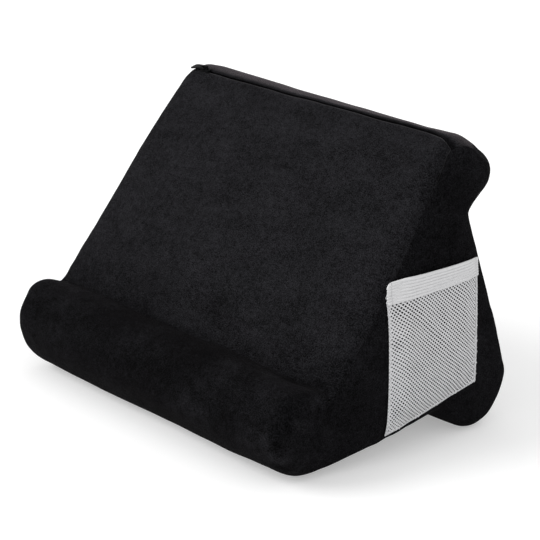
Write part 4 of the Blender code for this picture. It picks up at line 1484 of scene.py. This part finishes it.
def hole_opening(place):
    """How far the net's holes open at this place in millimetres: less where it is gathered."""
    opening = 0.97 - 0.13 * ease((4 - place.x) / 12)
    opening += 0.05 * noise.noise(Vector((*place, 0)) * 0.12)
    for y, z, reach in GAPES:
        opening += 0.17 * math.exp(-(((place.x - y) ** 2 + (place.y - z) ** 2) / reach**2))
    return opening


def net_point(form, place, room):
    """A knot of the net, pulled a little out of its row by the slack in the cloth."""
    free = ease(room / (10 * MM))
    seed = Vector((place.x, place.y, 0.2)) * 38.0
    pull = Vector((1.3 * noise.noise(seed), 1.1 * noise.noise(seed + Vector((5, 9, 2)))))
    place = place + free * MM * pull
    place.x = min(max(place.x, POCKET_LOW_FRONT[0] + NET_YARN), POCKET_TOP_REAR[0] - NET_YARN)
    return form.at(place.x, place.y, NET_YARN)


YARN_STEP = 0.5 * MM
SIDE_HEM, REAR_HEM, BOTTOM_HEM = 2.0 * MM, 2.8 * MM, 1.6 * MM
HEM_UNDER_BAND = 1.5 * MM
HEM_LINE, HEM_LINE_WIDTH = 2.3 * MM, 0.45 * MM


def pocket_hems(form, pocket):
    """The front, rear and bottom hems, each a narrow strip with its yarn's turns across it."""

    def side(across, up):
        return form.point(across, up, 0.15 * MM + 0.12 * MM * math.sin(up / YARN_STEP))

    def bottom(across, up):
        return form.point(across, up, 0.3 * MM + 0.08 * MM * math.sin(across / YARN_STEP))

    rows = spread(0.0, POCKET_HEIGHT - pocket.band_width + HEM_UNDER_BAND, 44)
    near, far = spread(0.0, SIDE_HEM, 4), spread(POCKET_WIDTH - REAR_HEM, POCKET_WIDTH, 4)
    along = spread(0.3 * MM, POCKET_WIDTH - 0.3 * MM, 44)
    hems = [
        pocket_strip("pocket_hem_front", near, rows, side, 0.5 * MM),
        pocket_strip("pocket_hem_rear", far, rows, side, 0.5 * MM),
        pocket_strip("pocket_hem_bottom", along, spread(0.0, BOTTOM_HEM, 3), bottom, 0.45 * MM),
    ]
    mark_groove(hems[1], rear_hem_groove)
    return hems


def mark_groove(made, depth):
    """Writes how much painted shade each vertex takes in a groove of the weave."""
    groove = made.data.attributes.new("groove", "FLOAT", "POINT")
    for k, vert in enumerate(made.data.vertices):
        groove.data[k].value = depth(vert.co)


def rear_hem_groove(place):
    """Painted shade in the sunk line between the rear hem and the net, uneven as its stitches pull it.
    """
    line = bell(from_rear(place.yz) - HEM_LINE, HEM_LINE_WIDTH)
    return line * min(1.0, max(0.2, 0.7 + 1.2 * noise.noise(place * 420.0)))


BAND_CORNER = 4 * MM
BAND_SEAM, BAND_SEAM_WIDTH = 2.7 * MM, 0.3 * MM
# Lengths from the elastic's end where its columns stand closer, round the seam that holds it
BAND_END = (0.0, 1.0 * MM, 1.9 * MM, 2.4 * MM, BAND_SEAM, 3.0 * MM)
BAND_PLAIN = 3.8 * MM


def elastic_band(form, pocket):
    """The elastic across the pocket's mouth, with lengthwise ribs and its ends folded under."""
    low = POCKET_HEIGHT - pocket.band_width
    rows = spread(low, POCKET_HEIGHT, pocket.ribs * 4)
    columns = [*BAND_END, *spread(BAND_PLAIN, POCKET_WIDTH - BAND_PLAIN, 40)]
    columns += [POCKET_WIDTH - across for across in reversed(BAND_END)]

    def point(across, up):
        share = (up - low) / (POCKET_HEIGHT - low)
        rib = abs(math.sin(math.pi * (share * pocket.ribs))) ** 0.5
        from_end = max(0.0, BAND_CORNER - across)
        drop = BAND_CORNER - math.sqrt(BAND_CORNER**2 - from_end**2)
        return form.point(across, up - share * drop, 0.5 * MM + 0.6 * MM * rib)

    # Painted shade in the elastic's rib grooves, and a dark line along the seam that holds each end
    def groove(place):
        phase = from_top(place.yz) / pocket.band_width * pocket.ribs
        from_end = min(from_front(place.yz), from_rear(place.yz))
        seam = 1.4 * bell(from_end - BAND_SEAM, BAND_SEAM_WIDTH)
        return max(seam, 0.0, 1 - 1.8 * abs(math.sin(math.pi * phase)))

    made = pocket_strip("pocket_elastic", columns, rows, point, 1.0 * MM)
    mark_groove(made, groove)
    return made


STITCH_RADIUS, STITCH_STRETCH = 0.3 * MM, (0.8, 1.0, 3.2)
STITCHES, STITCH_START, STITCH_STEP, STITCH_PROUD = 5, 1.6 * MM, 2.6 * MM, 1.8 * MM


def band_stitches(form, pocket):
    """Two rows of thread that sew the elastic's ends down."""
    bpy.ops.mesh.primitive_uv_sphere_add(segments=8, ring_count=6, radius=STITCH_RADIUS)
    thread = bpy.context.object
    edit(thread, "SELECT")
    bpy.ops.transform.resize(value=STITCH_STRETCH)
    leave_edit()
    copies = []
    low = POCKET_HEIGHT - pocket.band_width + STITCH_START
    for across in (BAND_SEAM, POCKET_WIDTH - BAND_SEAM):
        for k in range(STITCHES):
            copy = new_object("pocket_stitches", thread.data.copy())
            place = form.point(across, low + k * STITCH_STEP, STITCH_PROUD)
            settle_in(copy, Matrix.Translation(place))
            copies.append(copy)
    bpy.data.objects.remove(thread)
    made = joined(*copies)
    made.name = made.data.name = "pocket_stitches"
    made.data.shade_smooth()
    return made


class PILLOW_OT_pocket(bpy.types.Operator):
    """Makes the side pocket: net, hems, ribbed elastic and its stitches"""

    bl_idname = "pillow.pocket"
    bl_label = "Net pocket"

    def execute(self, context):
        colours, pocket = context.scene.pillow_colours, context.scene.pillow_pocket
        yarn = woven_look(
            "white_net_yarn", colours.net, 700.0, 0.2, (("Roughness", 0.7), ("Sheen Weight", 0.1)),
        )
        hem_yarn = woven_look(
            "white_hem_yarn", colours.net, 450.0, 0.5, (("Roughness", 0.8),), grooves=0.75,
        )
        rubber = woven_look(
            "white_elastic_weave", colours.elastic, 1100.0, 0.14, (("Roughness", 0.75),),
            grooves=0.22,
        )
        form = PocketForm(cover_tree())
        net = pocket_net(form, pocket)
        finish_piece(net, "pillow", ["pocket_net"], yarn)
        hems = pocket_hems(form, pocket)
        hem_solids = ("pocket_side_hem_front", "pocket_side_hem_rear", "pocket_bottom_hem")
        for hem, solid in zip(hems, hem_solids):
            finish_piece(hem, "pillow", [solid], hem_yarn)
        band = elastic_band(form, pocket)
        finish_piece(band, "pillow", ["pocket_elastic_band"], rubber)
        sewn = band_stitches(form, pocket)
        finish_piece(sewn, "pillow", [], rubber)
        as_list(hems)
        return {"FINISHED"}


# The stage


CAMERA_AZIMUTH, CAMERA_ELEVATION = math.radians(50.361), math.radians(18.350)
CAMERA_PLACE = (0.9832, -0.8023, 0.5114)
CAMERA_LENS = 129.76
FLOOR_GLOW, WORLD_LIGHT = 0.34, 0.72
# The suns as (name, direction, strength, angle in degrees)
SUNS = (
    ("key_light", (-0.50, -0.72, 0.62), 1.55, 35),
    ("fill_light", (0.85, -0.35, 0.55), 0.35, 60),
)


def camera_rays(tree):
    """1 for what the camera sees, directly or in metal and glass."""
    path = node(tree, "ShaderNodeLightPath").outputs
    seen = maths(tree, "ADD", path["Is Camera Ray"], path["Is Glossy Ray"])
    return node(
        tree, "ShaderNodeMath", ((0, seen), (1, path["Is Transmission Ray"])),
        operation="ADD", use_clamp=True,
    ).outputs[0]


def pale_floor():
    """A wide white floor that glows a little for the camera alone."""
    bpy.ops.mesh.primitive_plane_add(size=30)
    floor = bpy.context.object
    floor.name = floor.data.name = "floor"
    look, tree, shader = new_material(
        "pale_floor",
        (
            ("Roughness", 1.0), ("Specular IOR Level", 0.0), ("Base Color", (0.80, 0.80, 0.80, 1)),
        ),
    )
    strength = maths(tree, "MULTIPLY", camera_rays(tree), FLOOR_GLOW)
    glow = node(tree, "ShaderNodeEmission", (("Color", (1, 1, 1, 1)), ("Strength", strength)))
    plain = tree.nodes["Principled BSDF"].outputs[0]
    both = node(tree, "ShaderNodeAddShader", ((0, plain), (1, glow.outputs[0])))
    tree.links.new(both.outputs[0], tree.nodes["Material Output"].inputs["Surface"])
    floor.data.materials.append(look)
    return floor


def light_world(scene):
    """Lights the studio evenly, and shows it white to the camera."""
    scene.world = scene.world or bpy.data.worlds.new("studio")
    scene.world.use_nodes = True
    tree = scene.world.node_tree
    shade = tree.nodes["Background"].inputs
    shade["Color"].default_value = (1, 1, 1, 1)
    level = rescaled(tree, camera_rays(tree), (0.0, 1.0), (WORLD_LIGHT, 1.0))
    tree.links.new(level, shade["Strength"])


def sun(name, towards, strength, angle):
    light = bpy.data.lights.new(name, "SUN")
    light.energy = strength
    light.angle = math.radians(angle)
    made = new_object(name, light)
    made.rotation_mode = "QUATERNION"
    made.rotation_quaternion = Vector(towards).to_track_quat("Z", "Y")
    return made


def photo_camera():
    """The camera at the photo's angle, distance and lens."""
    level = math.cos(CAMERA_ELEVATION)
    back = Vector((
        math.sin(CAMERA_AZIMUTH) * level, -math.cos(CAMERA_AZIMUTH) * level,
        math.sin(CAMERA_ELEVATION),
    ))
    camera = new_object("camera", bpy.data.cameras.new("camera"))
    camera.location = CAMERA_PLACE
    camera.rotation_mode = "QUATERNION"
    camera.rotation_quaternion = (-back).to_track_quat("-Z", "Y")
    camera.data.lens = CAMERA_LENS
    camera.data.clip_start, camera.data.clip_end = 0.01, 60
    return camera


class PILLOW_OT_stage(bpy.types.Operator):
    """Makes the pale floor, the studio light and the camera"""

    bl_idname = "pillow.stage"
    bl_label = "Stage"

    def execute(self, context):
        floor = pale_floor()
        light_world(context.scene)
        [sun(*values) for values in SUNS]
        context.scene.camera = photo_camera()
        context.scene.view_settings.view_transform = "Standard"
        return {"FINISHED"}


STEPS = (PILLOW_OT_cover, PILLOW_OT_foam, PILLOW_OT_zip, PILLOW_OT_pocket, PILLOW_OT_stage)
GROUPS = {
    "pillow_cover": PillowCover, "pillow_zip": PillowZip, "pillow_pocket": PillowPocket,
    "pillow_colours": PillowColours,
}


class PILLOW_PT_panel(bpy.types.Panel):
    bl_idname = "PILLOW_PT_panel"
    bl_label = "Laptop pillow stand"
    bl_space_type = "VIEW_3D"
    bl_region_type = "UI"
    bl_category = "Pillow stand"

    def draw(self, context):
        layout = self.layout
        for operator in STEPS:
            layout.operator(operator.bl_idname)
        for name in GROUPS:
            group = getattr(context.scene, name)
            box = layout.box()
            for key in group.__annotations__:
                box.prop(group, key)


CLASSES = (*GROUPS.values(), *STEPS, PILLOW_PT_panel)


def register():
    for item in CLASSES:
        bpy.utils.register_class(item)
    for name, group in GROUPS.items():
        setattr(bpy.types.Scene, name, PointerProperty(type=group))


def unregister():
    for name in GROUPS:
        delattr(bpy.types.Scene, name)
    for item in reversed(CLASSES):
        bpy.utils.unregister_class(item)


def main():
    register()
    bpy.ops.pillow.cover()
    bpy.ops.pillow.foam()
    bpy.ops.pillow.zip()
    bpy.ops.pillow.pocket()
    bpy.ops.pillow.stage()


if __name__ == "__main__":
    main()
